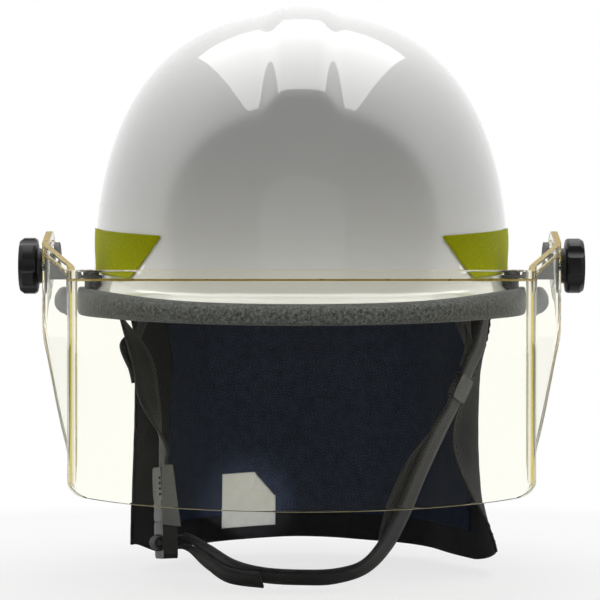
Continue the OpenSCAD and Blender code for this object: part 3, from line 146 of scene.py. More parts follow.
def dome(turn, rise):
    """Point on the outer face of the dome, with its crown ridge and its flat front panel."""
    a = radians(rise)
    c = max(0.0, cos(a)) ** (2 / DOME_POWER)
    x, y = egg(turn, DOME_W * c, DOME_FRONT * c, DOME_BACK * c)
    z = DOME_H * max(0.0, sin(a)) ** (2 / DOME_POWER)
    bump = 1 - ease((abs(x) - RIDGE_FLAT) / (RIDGE_FOOT - RIDGE_FLAT))
    out = Vector((0, y, z + 0.001)).normalized() * RIDGE_H * bump * ease((z - 45) / 45)
    x, y, z = x + out.x, y + out.y, z + out.z
    if y <= 0:
        panel = -(DOME_FRONT - PANEL_INSET - z * tan(radians(PANEL_LEAN))
                  - x * x / (2 * PANEL_RADIUS))
        half = (y - panel) / 2
        y = (y + panel) / 2 + sqrt(half * half + PANEL_SOFT * PANEL_SOFT)
    return Vector((x, y, z))


def brim(turn, t):
    s = sin(radians(turn))
    root, below = dome(turn, FLARE_TURN), dome(turn, FLARE_TURN + 1)
    x, y = egg(turn, BRIM_W, BRIM_FRONT, BRIM_REAR)
    rim = Vector((x, y, -(DROP_FRONT if s < 0 else DROP_BACK) * s * s))
    run = (rim - root).to_2d().length
    foot = Vector((root.x, root.y, rim.z + run * tan(radians(BRIM_SLOPE))))
    down = (root - below).normalized()
    soft = bezier((rim, mix(rim, foot, 0.8), root + down * 0.8 * (root - foot).length, root), t)
    share = ease((-s - 0.6) / 0.35)
    if share == 0:
        return soft
    low = rim.z + run * tan(radians(FRONT_SLOPE))
    foot = root + down * (low - root.z) / down.z
    return mix(soft, foot + (rim - foot) * (1 - t) ** 4 + (root - foot) * t ** 4, share)


def face(turn, v):
    """Outer face of the shell: 0 to 1 is the brim, 1 to 2 the dome up to its crown."""
    return brim(turn, v) if v <= 1 else dome(turn, mix(FLARE_TURN, 90, min(1, v - 1)))


def face_normal(turn, v):
    around = face(turn + 0.5, v) - face(turn - 0.5, v)
    up = face(turn, min(1.995, v + 0.01)) - face(turn, max(0, v - 0.01))
    return around.cross(up).normalized()


# Mesh helpers

def grid_mesh(cols, rows, place, stretch=(1, 1)):
    """A grid whose points place(s, t) puts, with s and t from 0 to 1 as its UV map."""
    bm = bmesh.new()
    bmesh.ops.create_grid(bm, x_segments=cols, y_segments=rows, size=0.5)
    uv = bm.loops.layers.uv.new("UVMap")
    for f in bm.faces:
        for loop in f.loops:
            loop[uv].uv = ((loop.vert.co.x + 0.5) * stretch[0],
                           (loop.vert.co.y + 0.5) * stretch[1])
        f.smooth = True
    for v in bm.verts:
        v.co = Vector(place(v.co.x + 0.5, v.co.y + 0.5)) * MM
    return bm


def close_up(bm, distance=0.004 * MM):
    bmesh.ops.remove_doubles(bm, verts=bm.verts, dist=distance)
    bmesh.ops.dissolve_degenerate(bm, dist=distance, edges=bm.edges)
    bmesh.ops.recalc_face_normals(bm, faces=bm.faces)


def crease(bm, least):
    for e in bm.edges:
        if len(e.link_faces) == 2 and e.calc_face_angle(0) > radians(least):
            e.smooth = False


def mesh_of(name, bm):
    mesh = bpy.data.meshes.new(name)
    bm.to_mesh(mesh)
    bm.free()
    return mesh


def put_in_scene(name, data):
    obj = bpy.data.objects.new(name, data)
    bpy.context.scene.collection.objects.link(obj)
    return obj


def add_piece(name, bm, body, material, instead_of=()):
    """Makes a visible piece that rides on a body, with one material or a list of them."""
    obj = put_in_scene(name, mesh_of(name, bm))
    for m in material if isinstance(material, (list, tuple)) else [material]:
        obj.data.materials.append(m)
    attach(obj, body)
    if instead_of:
        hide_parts(*instead_of)
    return obj


def thicken(obj, thickness, offset=-1.0):
    """Makes a sheet thick: inwards with an offset of -1, outwards with 1."""
    wall = obj.modifiers.new("Wall", "SOLIDIFY")
    wall.thickness = thickness
    wall.offset = offset
    wall.use_even_offset = True
    return wall


def bake_modifiers(obj):
    """Turns the modified mesh into the object's own mesh."""
    graph = bpy.context.evaluated_depsgraph_get()
    shaped = bpy.data.meshes.new_from_object(obj.evaluated_get(graph))
    obj.modifiers.clear()
    old = obj.data
    obj.data = shaped
    bpy.data.meshes.remove(old)


# Materials

def linear(hex_colour):
    def channel(c):
        return c / 12.92 if c <= 0.04045 else ((c + 0.055) / 1.055) ** 2.4
    digits = hex_colour.lstrip("#")
    return tuple(channel(int(digits[i:i + 2], 16) / 255) for i in (0, 2, 4)) + (1.0,)


def set_inputs(node, **inputs):
    """Sets or joins a node's inputs by name, or by number as n0, n1 and so on."""
    for key, value in inputs.items():
        socket = node.inputs[int(key[1:]) if key[0] == "n" and key[1:].isdigit()
                             else key.replace("_", " ")]
        if isinstance(value, bpy.types.NodeSocket):
            node.id_data.links.new(value, socket)
        else:
            socket.default_value = value


def add_node(tree, kind, settings=None, **inputs):
    made = tree.nodes.new(kind)
    for key, value in (settings or {}).items():
        setattr(made, key, value)
    set_inputs(made, **inputs)
    return made


def maths(tree, operation, *values):
    numbered = {"n%d" % i: value for i, value in enumerate(values)}
    return add_node(tree, "ShaderNodeMath", {"operation": operation}, **numbered).outputs[0]


def coordinates(tree, kind):
    return add_node(tree, "ShaderNodeTexCoord").outputs[kind]


def axes(tree, kind):
    return add_node(tree, "ShaderNodeSeparateXYZ", n0=coordinates(tree, kind)).outputs


def new_material(name):
    material = bpy.data.materials.new(name)
    material.use_nodes = True
    tree = material.node_tree
    tree.nodes.clear()
    shader = add_node(tree, "ShaderNodeBsdfPrincipled")
    out = add_node(tree, "ShaderNodeOutputMaterial")
    set_inputs(out, Surface=shader.outputs["BSDF"])
    return material, tree, shader


def blend_colours(tree, factor, low, high):
    """Mixes two colours, each given in hex or as another node's output."""
    low, high = [linear(c) if isinstance(c, str) else c for c in (low, high)]
    return add_node(tree, "ShaderNodeMix", {"data_type": "RGBA"}, n0=factor, n6=low,
                    n7=high).outputs[2]


def remap(tree, value, from_low, from_high, to_low, to_high):
    return add_node(tree, "ShaderNodeMapRange", {"clamp": True}, n0=value, n1=from_low,
                    n2=from_high, n3=to_low, n4=to_high).outputs["Result"]


def bump(tree, shader, height, distance, strength=1.0):
    made = add_node(tree, "ShaderNodeBump", Strength=strength, Distance=distance, Height=height)
    set_inputs(shader, Normal=made.outputs["Normal"])


def object_noise(tree, size, detail=2.0, roughness=0.5):
    """Noise on Object coordinates whose cells are about size metres across."""
    return add_node(tree, "ShaderNodeTexNoise", Vector=coordinates(tree, "Object"),
                    Scale=1 / size, Detail=detail, Roughness=roughness).outputs["Fac"]


def gloss_shell_finish(colour):
    # Fibreglass composite, gel coated and polished: sharp reflections over faint orange peel
    material, tree, shader = new_material("Gloss gel coat")
    dust = object_noise(tree, 60 * MM, 4.0)
    white = blend_colours(tree, remap(tree, dust, 0.3, 0.7, 0, 1), "#EFEFEE", colour)
    set_inputs(shader, Base_Color=white, Roughness=remap(tree, dust, 0.3, 0.75, 0.2, 0.26),
               IOR=1.5, Specular_IOR_Level=0.1, Coat_Weight=1.0, Coat_Roughness=0.02,
               Coat_IOR=1.9)
    bump(tree, shader, object_noise(tree, 7 * MM, 1.0), 0.02 * MM, 0.15)
    return material


def trim_rubber_finish():
    # Extruded rubber edging with a coarse, wrinkled grain
    material, tree, shader = new_material("Grained edge rubber")
    coarse = object_noise(tree, 1.6 * MM, 4.0, 0.6)
    grey = blend_colours(tree, remap(tree, coarse, 0.35, 0.7, 0, 1), "#202225", "#66696D")
    set_inputs(shader, Base_Color=grey, Roughness=remap(tree, coarse, 0.3, 0.7, 0.38, 0.6),
               IOR=1.52, Specular_IOR_Level=0.25)
    bump(tree, shader, coarse, 0.8 * MM)
    return material


def reflective_film_finish():
    # Fluorescent prismatic film: dark lime face on, glowing yellow at a glancing angle
    material, tree, shader = new_material("Fluorescent prismatic film")
    prism = add_node(tree, "ShaderNodeTexVoronoi", {"feature": "DISTANCE_TO_EDGE"},
                     Vector=coordinates(tree, "Object"), Scale=1 / (2.4 * MM))
    seam = remap(tree, prism.outputs["Distance"], 0.0, 0.09, 1, 0)
    set_inputs(shader, Base_Color=blend_colours(tree, seam, "#A3A800", "#B4BA10"),
               Roughness=0.5, IOR=1.4, Specular_IOR_Level=0.1, Sheen_Weight=0.8,
               Sheen_Roughness=0.25, Sheen_Tint=linear("#FFFF00"))
    bump(tree, shader, seam, 0.05 * MM, 0.4)
    return material


def moulded_black_finish(name, colour, grain, rough):
    # Injection moulded nylon with the fine spark-eroded grain of its tool
    material, tree, shader = new_material(name)
    wear = object_noise(tree, 14 * MM, 3.0)
    black = blend_colours(tree, remap(tree, wear, 0.4, 0.75, 0, 1), colour, "#1E1E20")
    set_inputs(shader, Base_Color=black, IOR=1.53, Specular_IOR_Level=0.3,
               Roughness=remap(tree, wear, 0.3, 0.7, rough - 0.07, rough + 0.07))
    bump(tree, shader, object_noise(tree, grain, 2.0, 0.6), 0.12 * MM, 0.5)
    return material


def plated_steel_finish():
    # Zinc plated steel: bright, a little cloudy, with fine turning marks
    material, tree, shader = new_material("Zinc plated steel")
    cloud = object_noise(tree, 5 * MM, 3.0)
    set_inputs(shader, Base_Color=blend_colours(tree, cloud, "#A6A8AC", "#D6D7DA"),
               Roughness=remap(tree, cloud, 0.3, 0.7, 0.2, 0.36), Metallic=1.0)
    bump(tree, shader, object_noise(tree, 0.8 * MM), 0.04 * MM, 0.3)
    return material


def powder_coat_finish():
    # Steel with a satin black powder coat, slightly pebbled
    material, tree, shader = new_material("Black powder coat")
    pebble = object_noise(tree, 1.2 * MM, 1.0)
    set_inputs(shader, Base_Color=blend_colours(tree, pebble, "#141415", "#202022"),
               Roughness=remap(tree, pebble, 0.3, 0.7, 0.34, 0.46), IOR=1.5)
    bump(tree, shader, pebble, 0.08 * MM, 0.4)
    return material


def acetal_finish():
    # Natural acetal: milky, waxy white gears and racks
    material, tree, shader = new_material("Natural acetal")
    cloud = object_noise(tree, 6 * MM)
    set_inputs(shader, Base_Color=blend_colours(tree, cloud, "#DEDDD6", "#ECEBE6"),
               Roughness=remap(tree, cloud, 0.3, 0.7, 0.32, 0.44), IOR=1.48,
               Subsurface_Weight=0.15, Subsurface_Scale=2 * MM)
    return material


def liner_foam_finish():
    # Moulded urethane foam: tan, matt, with small open bubbles in its skin
    material, tree, shader = new_material("Urethane foam")
    bubble = add_node(tree, "ShaderNodeTexVoronoi", Vector=coordinates(tree, "Object"),
                      Scale=1 / (2.2 * MM))
    pit = remap(tree, bubble.outputs["Distance"], 0.0, 0.3, 0, 1)
    set_inputs(shader, Base_Color=blend_colours(tree, pit, "#8A7A58", "#B9A77F"), IOR=1.45,
               Roughness=0.9)
    bump(tree, shader, pit, 0.4 * MM, 0.6)
    return material


def clear_sheet_finish(colour):
    # Hard coated polycarbonate sheet: clear, with amber painted along its bends for the light
    # caught in the sheet there
    material, tree, shader = new_material("Clear polycarbonate")
    haze = object_noise(tree, 40 * MM, 2.0)
    along_sheet = axes(tree, "UV")["X"]
    off_middle = maths(tree, "ABSOLUTE", maths(tree, "SUBTRACT", along_sheet, 0.5))
    off_corner = maths(tree, "ABSOLUTE", maths(tree, "SUBTRACT", off_middle, CORNER_AT))
    streak = add_node(tree, "ShaderNodeTexNoise", {"noise_dimensions": "1D"}, W=along_sheet,
                      Scale=300.0, Detail=2.0)
    ragged = maths(tree, "MULTIPLY_ADD", streak.outputs[0], 0.008, off_corner)
    # Painted light: a band with ragged sides down each bend, where the base colour turns amber for
    # the light the sheet catches there
    corner = remap(tree, ragged, 0.011, 0.021, 1.0, 0)
    shadow = add_node(tree, "ShaderNodeLightPath").outputs["Is Shadow Ray"]
    set_inputs(shader, Base_Color=blend_colours(tree, corner, colour, "#B09A1C"),
               Roughness=remap(tree, haze, 0.3, 0.8, 0.0, 0.02), Transmission_Weight=1.0,
               IOR=1.14, Alpha=remap(tree, shadow, 0, 1, 1.0, 0.12))
    return material


def cut_edge_finish(colour):
    # Routed edge of the sheet: amber painted for the light caught in the sheet, strongest round
    # the ears, where light gathers, and pale lower down
    material, tree, shader = new_material("Amber cut edge")
    saw = object_noise(tree, 3 * MM, 3.0)
    height = axes(tree, "Object")["Z"]
    edge = blend_colours(tree, remap(tree, height, -50 * MM, 0.0, 0, 1), "#E4E1D2",
                         blend_colours(tree, saw, colour, "#E3C75A"))
    set_inputs(shader, Base_Color=edge, Roughness=remap(tree, saw, 0.3, 0.7, 0.25, 0.45),
               Transmission_Weight=0.35, IOR=1.45)
    return material


def woven_finish(name, dark, light, across, along, rough=0.85, depth=0.3, sheen=0.3,
                 weave=0.3):
    # Cloth whose threads cross in the piece's own UV map, which is in metres
    material, tree, shader = new_material(name)
    thread = axes(tree, "UV")
    waves = [maths(tree, "SINE", maths(tree, "MULTIPLY", thread[axis], 2 * pi / pitch))
             for axis, pitch in (("X", across), ("Y", along))]
    crossing = maths(tree, "MULTIPLY", *waves)
    shade = maths(tree, "MULTIPLY_ADD", crossing, weave, object_noise(tree, 5 * MM, 4.0, 0.6))
    cloth = blend_colours(tree, remap(tree, shade, 0.2, 0.9, 0, 1), dark, light)
    set_inputs(shader, Base_Color=cloth, IOR=1.45, Roughness=rough, Sheen_Weight=sheen,
               Sheen_Roughness=0.5)
    bump(tree, shader, crossing, depth * MM, 0.5)
    return material


def thread_finish():
    # Bonded polyester sewing thread: dark grey with the dull shine of its twist
    material, tree, shader = new_material("Sewing thread")
    twist = object_noise(tree, 0.6 * MM, 2.0)
    set_inputs(shader, Base_Color=blend_colours(tree, twist, "#2F2F34", "#4C4C52"), IOR=1.5,
               Roughness=0.55)
    return material


def floor_finish():
    # Seamless paper, seen as pure white by the camera and through the clear sheet
    material, tree, shader = new_material("Studio paper")
    path = add_node(tree, "ShaderNodeLightPath").outputs
    paper = blend_colours(tree, object_noise(tree, 30 * MM, 2.0), "#F6F6F5", "#FFFFFF")
    set_inputs(shader, Base_Color=blend_colours(tree, path["Is Diffuse Ray"], paper, "#7C7C7C"),
               Roughness=0.9, Specular_IOR_Level=0.1)
    reach = add_node(tree, "ShaderNodeVectorMath", {"operation": "LENGTH"},
                     n0=coordinates(tree, "Object")).outputs["Value"]
    seen = maths(tree, "MAXIMUM", path["Is Camera Ray"], path["Is Transmission Ray"])
    white = maths(tree, "MAXIMUM",
                  maths(tree, "MULTIPLY", seen, remap(tree, reach, 0.24, 0.5, 0, 1)),
                  remap(tree, seen, 0, 1, 0, 0.75))
    glow = add_node(tree, "ShaderNodeEmission", Color=(1, 1, 1, 1), Strength=1.0)
    mixed = add_node(tree, "ShaderNodeMixShader", n0=white, n1=shader.outputs["BSDF"],
                     n2=glow.outputs["Emission"])
    out = next(n for n in tree.nodes if n.type == "OUTPUT_MATERIAL")
    set_inputs(out, Surface=mixed.outputs["Shader"])
    return material


# Camera, lights and floor

CAMERA_AT, CAMERA_AIM = (-0.0009, -1.4, 0.0125), (-0.0009, 0, -0.0018)
LABEL_AT = (-0.033, 0.14, -0.128)
SOFTBOXES = (
    ("Overhead softbox", (0.0, 0.12, 1.5), (1.9, 2.2), 26),
    ("Side light left", (-1.4, 0.5, 0.6), (0.6, 0.9), 4),
    ("Side light right", (1.4, 0.5, 0.6), (0.6, 0.9), 4),
    ("Front fill", (0.0, -2.4, 0.3), (1.8, 1.0), 1.15),
)


def stand(name, data, place, target):
    """Puts a camera or a lamp at a place, aimed at a target."""
    obj = put_in_scene(name, data)
    obj.location = place
    obj.rotation_euler = (Vector(target) - Vector(place)).to_track_quat("-Z", "Y").to_euler()
    return obj


def white_surround():
    """World that is white to the camera, darker in front for reflections and dim as a lamp."""
    world = bpy.data.worlds.new("White surround")
    world.use_nodes = True
    tree = world.node_tree
    tree.nodes.clear()
    path = add_node(tree, "ShaderNodeLightPath").outputs
    depth = axes(tree, "Generated")["Y"]
    room = maths(tree, "MULTIPLY", remap(tree, depth, -0.6, 0.1, 0.22, 1.0),
                 path["Is Glossy Ray"])
    seen = maths(tree, "MAXIMUM", maths(tree, "MAXIMUM", path["Is Camera Ray"], room),
                 path["Is Transmission Ray"])
    sky = add_node(tree, "ShaderNodeBackground", Color=(1, 1, 1, 1),
                   Strength=remap(tree, seen, 0, 1, 0.07, 1.0))
    add_node(tree, "ShaderNodeOutputWorld", Surface=sky.outputs[0])
    return world


class HELMET_OT_stage(bpy.types.Operator):
    """Camera at the photograph's viewing angle, soft lights, white world and a pale floor"""
    bl_idname = "helmet.stage"
    bl_label = "Stage"

    def execute(self, context):
        scene = context.scene
        scene.view_settings.view_transform = "Standard"
        scene.world = white_surround()
        lens = bpy.data.cameras.new("Camera")
        lens.lens, lens.sensor_width = 147.4, 36
        scene.camera = stand("Camera", lens, CAMERA_AT, CAMERA_AIM)
        for name, place, size, power in SOFTBOXES:
            light = bpy.data.lights.new(name, "AREA")
            light.shape, light.size, light.size_y, light.energy = "RECTANGLE", *size, power
            lamp = stand(name, light, place, (0, 0, 0))
            lamp.visible_glossy = not name.startswith("Side")
        snoot = bpy.data.lights.new("Snoot", "SPOT")
        snoot.energy, snoot.shadow_soft_size = 28, 0.01
        snoot.spot_size, snoot.spot_blend = radians(2.3), 0.3
        stand("Snoot", snoot, (-0.035, -1.3, -0.09), LABEL_AT)
        bm = bmesh.new()
        bmesh.ops.create_grid(bm, x_segments=8, y_segments=8, size=4.0)
        bmesh.ops.translate(bm, verts=bm.verts, vec=(0, 0, CAD_BOX[0][2] - 0.5 * MM))
        floor = put_in_scene("Floor", mesh_of("Floor", bm))
        floor.data.materials.append(floor_finish())
        return {"FINISHED"}


# Shell, its edge and its trims

class HELMET_OT_shell(bpy.types.Operator):
    """Gloss shell with its brim, crown ridge and flat front panel"""
    bl_idname = "helmet.shell"
    bl_label = "Shell"

    def execute(self, context):
        sizes = context.scene.helmet_shell
        share = 0.42

        def place(s, t):
            v = t / share if t < share else 1 + ((t - share) / (1 - share)) ** 0.92
            return face(360 * s, min(2, v))
        bm = grid_mesh(sizes.around, sizes.upwards, place)
        close_up(bm)
        obj = add_piece("shell_skin", bm, "helmet", gloss_shell_finish(sizes.white),
                        ["shell"])
        thicken(obj, sizes.wall)
        return {"FINISHED"}


def rounded(points):
    """Cuts each corner of a closed outline off, so that it turns into a smooth one."""
    for _ in range(2):
        points = [q for i, p in enumerate(points) for n in [points[(i + 1) % len(points)]]
                  for q in ((mix(p[0], n[0], 0.2), mix(p[1], n[1], 0.2)),
                            (mix(p[0], n[0], 0.8), mix(p[1], n[1], 0.8)))]
    return points


def trim_section(turn):
    """Bulb round the groove for the brim, with a thin upper lip in front."""
    g, r, low = SHELL_WALL / 2 + 0.2, 4, 7.7
    up = g + (6.8 - g) * mix(1, 0.25, ease(-2 * sin(radians(turn)) - 1))
    return rounded([(0.2, g), (0.2, -g), (-3.5, -g), (-3.5, -low * 0.6), (-2.2, -low),
                    (r * 0.1, -low * 1.02), (r * 0.65, -low * 0.85), (r * 1.02, -low * 0.5),
                    (r * 1.12, -low * 0.12), (r * 0.75, up * 0.5), (-r * 0.2, up), (-3.6, up),
                    (-5, up * 0.65), (-5, g)])


class HELMET_OT_edge_trim(bpy.types.Operator):
    """Grained rubber edging that grips the edge of the brim"""
    bl_idname = "helmet.edge_trim"
    bl_label = "Edge trim"

    def execute(self, context):
        rings = {}
        count = len(trim_section(0))

        def ring(turn):
            if turn not in rings:
                up = face_normal(turn, 0)
                out = (face(turn + 0.5, 0) - face(turn - 0.5, 0)).cross(up).normalized()
                rings[turn] = (face(turn, 0) - up * SHELL_WALL / 2, out, up, trim_section(turn))
            return rings[turn]

        def place(s, t):
            mid, out, up, section = ring(round(360 * s, 3) % 360)
            p = section[round(t * count) % count]
            return mid + out * p[0] + up * p[1]
        bm = grid_mesh(288, count, place)
        close_up(bm)
        add_piece("edge_rubber", bm, "helmet", trim_rubber_finish(),
                  ["edge_trim"])
        return {"FINISHED"}


def level_on_face(turn, z):
    """Place on the outer face that lies at a given height."""
    if z >= FLARE_TOP:
        rise = degrees(asin((z / DOME_H) ** (DOME_POWER / 2)))
        return 1 + (rise - FLARE_TURN) / (90 - FLARE_TURN)
    low, high = 0.2, 1.0
    for _ in range(14):
        mid = (low + high) / 2
        low, high = (mid, high) if brim(turn, mid).z < z else (low, mid)
    return (low + high) / 2


FILM_MIDS, FILM_HALF, FILM_SLANT = (-28.6, 20, 66), 22.5, 11
FILM_Z, FILM_H, FILM_T = 24, 24, 0.35


class HELMET_OT_reflective_trims(bpy.types.Operator):
    """Three fluorescent film trapezoids on each side of the dome"""
    bl_idname = "helmet.reflective_trims"
    bl_label = "Reflective trims"

    def execute(self, context):
        bm = bmesh.new()
        for side in (1, -1):
            for mid in FILM_MIDS:
                def place(s, t):
                    across = 2 * s - 1
                    past = max(0, abs(2 * t - 1) - 0.8) / 0.2
                    corner = 0.9 * (1 - sqrt(1 - past * past))
                    half = FILM_HALF - FILM_SLANT * (1 - t) - corner
                    turn = mid + across * half
                    z = FILM_Z + 6 * across * half / FILM_HALF / 2 + (t - 0.5) * FILM_H
                    v = level_on_face(turn, z)
                    p = face(turn, v) + face_normal(turn, v) * 0.55
                    return side * p.x, p.y, p.z
                part = grid_mesh(36, 40, place)
                if side < 0:
                    bmesh.ops.reverse_faces(part, faces=part.faces)
                mesh = mesh_of("part", part)
                bm.from_mesh(mesh)
                bpy.data.meshes.remove(mesh)
        obj = add_piece("reflective_film", bm, "helmet", reflective_film_finish(),
                        ["reflective_trims"])
        thicken(obj, FILM_T * MM, 1.0)
        return {"FINISHED"}


# Faceshield

BEND_W, REACH, BEND_Y, TOP, LOW = 122, 187, 120, 15, -105
EAR_R, EAR_MID_X, BORE_R = 19, 136.6 + SHEET_T / 2, 3.3
CORNER_AT = 43 / 204  # share of the sheet's length from its middle to its bend


def bent(t, r):
    """Rises from 0 to 1 as t does, straight but for a bend over a share r at each end."""
    if t < r:
        return t * t / (2 * r * (1 - r))
    if t > 1 - r:
        return 1 - (1 - t) ** 2 / (2 * r * (1 - r))
    return (t - r / 2) / (1 - r)


def visor_path():
    """Plan of the middle of the sheet from the front to the right ear."""
    w, reach = BEND_W - SHEET_T / 2, REACH - SHEET_T / 2
    front = vectors((0, -reach), (70, -reach), (w, -165), (w, -BEND_Y))
    side = [Vector((mix(w, EAR_MID_X, bent(i / 36, 0.2)), mix(-BEND_Y, -70, i / 36)))
            for i in range(37)]
    return ([bezier(front, i / 44) for i in range(44)] + side
            + [Vector((EAR_MID_X, -69.0 + 38 * sin(pi / 2 * i / 22))) for i in range(1, 23)])


def wing_low(y):
    """Lower edge of the wing at a given reach, along its curved rear edge."""
    rear = vectors((PIVOT_Y + EAR_R * 0.16, PIVOT_Z - EAR_R * 0.987),
                   (PIVOT_Y - 34, PIVOT_Z - 24.5), (-BEND_Y + 32, PIVOT_Z - 75.5),
                   (-BEND_Y - 1, -89))
    if y > rear[0].x:
        return PIVOT_Z - sqrt(max(0, EAR_R ** 2 - (y - PIVOT_Y) ** 2))
    low, high = 0.0, 1.0
    for _ in range(30):
        mid = (low + high) / 2
        low, high = (mid, high) if bezier(rear, mid).x > y else (low, mid)
    return bezier(rear, low).y


def wing_high(y):
    if y < -122.4:
        return TOP
    if y < -55.7:
        return mix(14.63, 35.6, (y + 122.4) / 66.7)
    return PIVOT_Z + sqrt(max(0, EAR_R ** 2 - (y - PIVOT_Y) ** 2))


def front_low(x):
    flat = BEND_W - 14
    past = max(0, abs(x) - flat) / 14
    return (LOW + 4 * min(abs(x), flat) ** 2 / flat ** 2
            + 12 * (1 - sqrt(max(0, 1 - past * past))))


class HELMET_OT_faceshield(bpy.types.Operator):
    """Clear bent faceshield with its top bead, its wings and its two ears"""
    bl_idname = "helmet.faceshield"
    bl_label = "Faceshield"

    def execute(self, context):
        sizes = context.scene.helmet_visor
        half = sizes.thick / MM / 2
        path = visor_path()
        stations = []
        for i, p in enumerate(path):
            ahead = (path[min(len(path) - 1, i + 1)] - path[max(0, i - 1)]).normalized()
            out = Vector((0, -1)) if i == 0 else Vector((ahead.y, -ahead.x))
            low = front_low(p.x) if p.y < -BEND_Y - 1 else wing_low(p.y)
            proud = 1 - ease((p.y + 140) / 16)
            stations.append((p, out, low, max(low + 0.02, wing_high(p.y)), proud))
        whole = [(Vector((-p.x, p.y)), Vector((-o.x, o.y)), lo, hi, e)
                 for p, o, lo, hi, e in reversed(stations[1:])] + stations
        bead = sizes.bead / MM

        def outline(low, high, proud):
            """Closed section of the sheet: offsets outwards and heights."""
            h = min(half, (high - low) / 2)
            r = h * 0.3
            tall = high - low > 3 * bead
            b = 0.22 * proud if tall else 0
            foot = high - bead if tall else high - r
            rows = [low + r, low + r * 1.4] + [mix(low, foot, k / 5) for k in range(1, 5)]
            up = [(h, z) for z in rows] + [(h, foot - 0.3), (h, foot)]
            step = foot + min(1, (high - foot) / 3)
            shoulder = max(step, high - r * 1.4)
            top = [(h + b, z) for z in (step, mix(step, shoulder, 0.1),
                                        mix(step, shoulder, 0.9), shoulder)]
            top += [(h + b - r * 0.3, high - r * 0.3), (h - r, high)]
            right = [(h - r, low), (h - r * 0.3, low + r * 0.3)] + up + top
            return right + [(-x, z) for x, z in reversed(right)]
        sections = [outline(lo, hi, e) for _, _, lo, hi, e in whole]
        count = len(sections[0])

        def place(s, t):
            i = round(s * (len(whole) - 1))
            p, out, *_ = whole[i]
            x, z = sections[i][round(t * count) % count]
            return p.x + out.x * x, p.y + out.y * x, z
        bm = grid_mesh(len(whole) - 1, count, place)
        middle, uv = count // 2, bm.loops.layers.uv[0]
        # Rows of the cut edges, and of the small step at the foot of the bead, which takes the
        # amber edge finish too: painted light caught at the step
        amber_rows = ({0, 1}, {9, 10}, {middle - 2, middle - 1, middle, middle + 1},
                    {count - 11, count - 10}, {count - 1, count})
        for f in bm.faces:
            rows = {round(loop[uv].uv.y * count) for loop in f.loops}
            f.material_index = int(any(rows <= cut for cut in amber_rows))
        close_up(bm)
        crease(bm, 40)
        materials = [clear_sheet_finish(sizes.clear), cut_edge_finish(sizes.amber)]
        obj = add_piece("faceshield_sheet", bm, "visor", materials,
                        ["faceshield"])
        drill = bmesh.new()
        at = Matrix.Translation((0, PIVOT_Y * MM, PIVOT_Z * MM))
        bmesh.ops.create_cone(drill, cap_ends=True, segments=48, radius1=BORE_R * MM,
                              radius2=BORE_R * MM, depth=0.4,
                              matrix=at @ Matrix.Rotation(pi / 2, 4, "Y"))
        mesh = mesh_of("drill", drill)
        tool = put_in_scene("drill", mesh)
        cut = obj.modifiers.new("Bores", "BOOLEAN")
        cut.operation, cut.object, cut.solver = "DIFFERENCE", tool, "EXACT"
        bake_modifiers(obj)
        bpy.data.objects.remove(tool)
        bpy.data.meshes.remove(mesh)
        return {"FINISHED"}


# Neck curtain, lining, hem and label

LINER_T, CURTAIN_TOP, CURTAIN_LOW = 12, 24.4, -150
CURTAIN_W, CURTAIN_L, CURTAIN_TURNS = 113.5, 138.0, (2, 164)
FOLD_H, FOLDS, CURL = 3, 9, 24
CLOTH_T, LINING_T, LABEL_T = 1.6, 0.9, 0.4
LABEL_W, LABEL_H = 32, 36
STITCH_SHARE = 0.74
SEAMS = (((0.01, 0.035), (0.99, 0.035), 335), ((0.01, 0.06), (0.99, 0.06), 335),
         ((0.016, 0.08), (0.016, 0.97), 170), ((0.984, 0.08), (0.984, 0.97), 170))


def curtain_point(s, t, out=0.0):
    """Point on the outer face of the curtain, from its right front edge round the back."""
    a = radians(mix(*CURTAIN_TURNS, s))
    drop = 1 - t
    low = CURTAIN_LOW - 6 * cos(a) ** 2 + 10 * ease(abs(2 * s - 1) * 4 - 3)
    inner = (6 + 7 * sin(a) ** 2) * ease(drop * 6) - 5 * drop
    fold = FOLD_H * ease(drop * 3) * sin(FOLDS * a) * (0.6 + 0.4 * sin(2 * a))
    curl = CURL * ease(1 - abs(drop - 0.62) / 0.42) * ease(1 - s * 9)
    side = 8 * ease((s - 0.55) * 2.5) * ease(drop * 3.5 - 0.25)
    w = CURTAIN_W - inner + fold - side + out
    length = CURTAIN_L - inner * 1.4 + fold + out
    x, y = w * cos(a), length * sin(a)
    return Vector((x - curl, y, mix(low, CURTAIN_TOP, t)))


def cloth_ripple(p, size, height):
    """Soft dents that a hanging cloth has, as a length along its face."""
    return height * (noise.noise(Vector((p.x, p.y, p.z * 0.6)) / size) +
                     0.35 * noise.noise(Vector((p.z, p.x, p.y)) / (size * 0.37)))


def cloth_point(s, t, out, ripple):
    push = cloth_ripple(curtain_point(s, t, out), 22, ripple) * ease((1 - t) * 4)
    return curtain_point(s, t, out + push)


def curtain_grid(s0, s1, t0, t1, cols, rows, out, ripple=0.0, fold=None):
    def place(a, b):
        lift = 0
        if fold:
            a, b, lift = fold(a, b)
        return cloth_point(mix(s0, s1, a), mix(t0, t1, b), out - lift, ripple)
    long, high = 335 * (s1 - s0) * MM, 176 * (t1 - t0) * MM
    bm = grid_mesh(cols, rows, place, (long, high))
    bmesh.ops.recalc_face_normals(bm, faces=bm.faces)
    return bm


def folded_corner(a, b):
    """Turns the upper front corner of the label over, along a line across it."""
    u, v = LABEL_W * a, LABEL_H * b
    past = -0.8 * (u - 12) + 0.6 * (v - LABEL_H)
    if past <= 0:
        return a, b, 0
    return (u + 1.6 * past) / LABEL_W, (v - 1.2 * past) / LABEL_H, 0.8 * ease(past / 2)


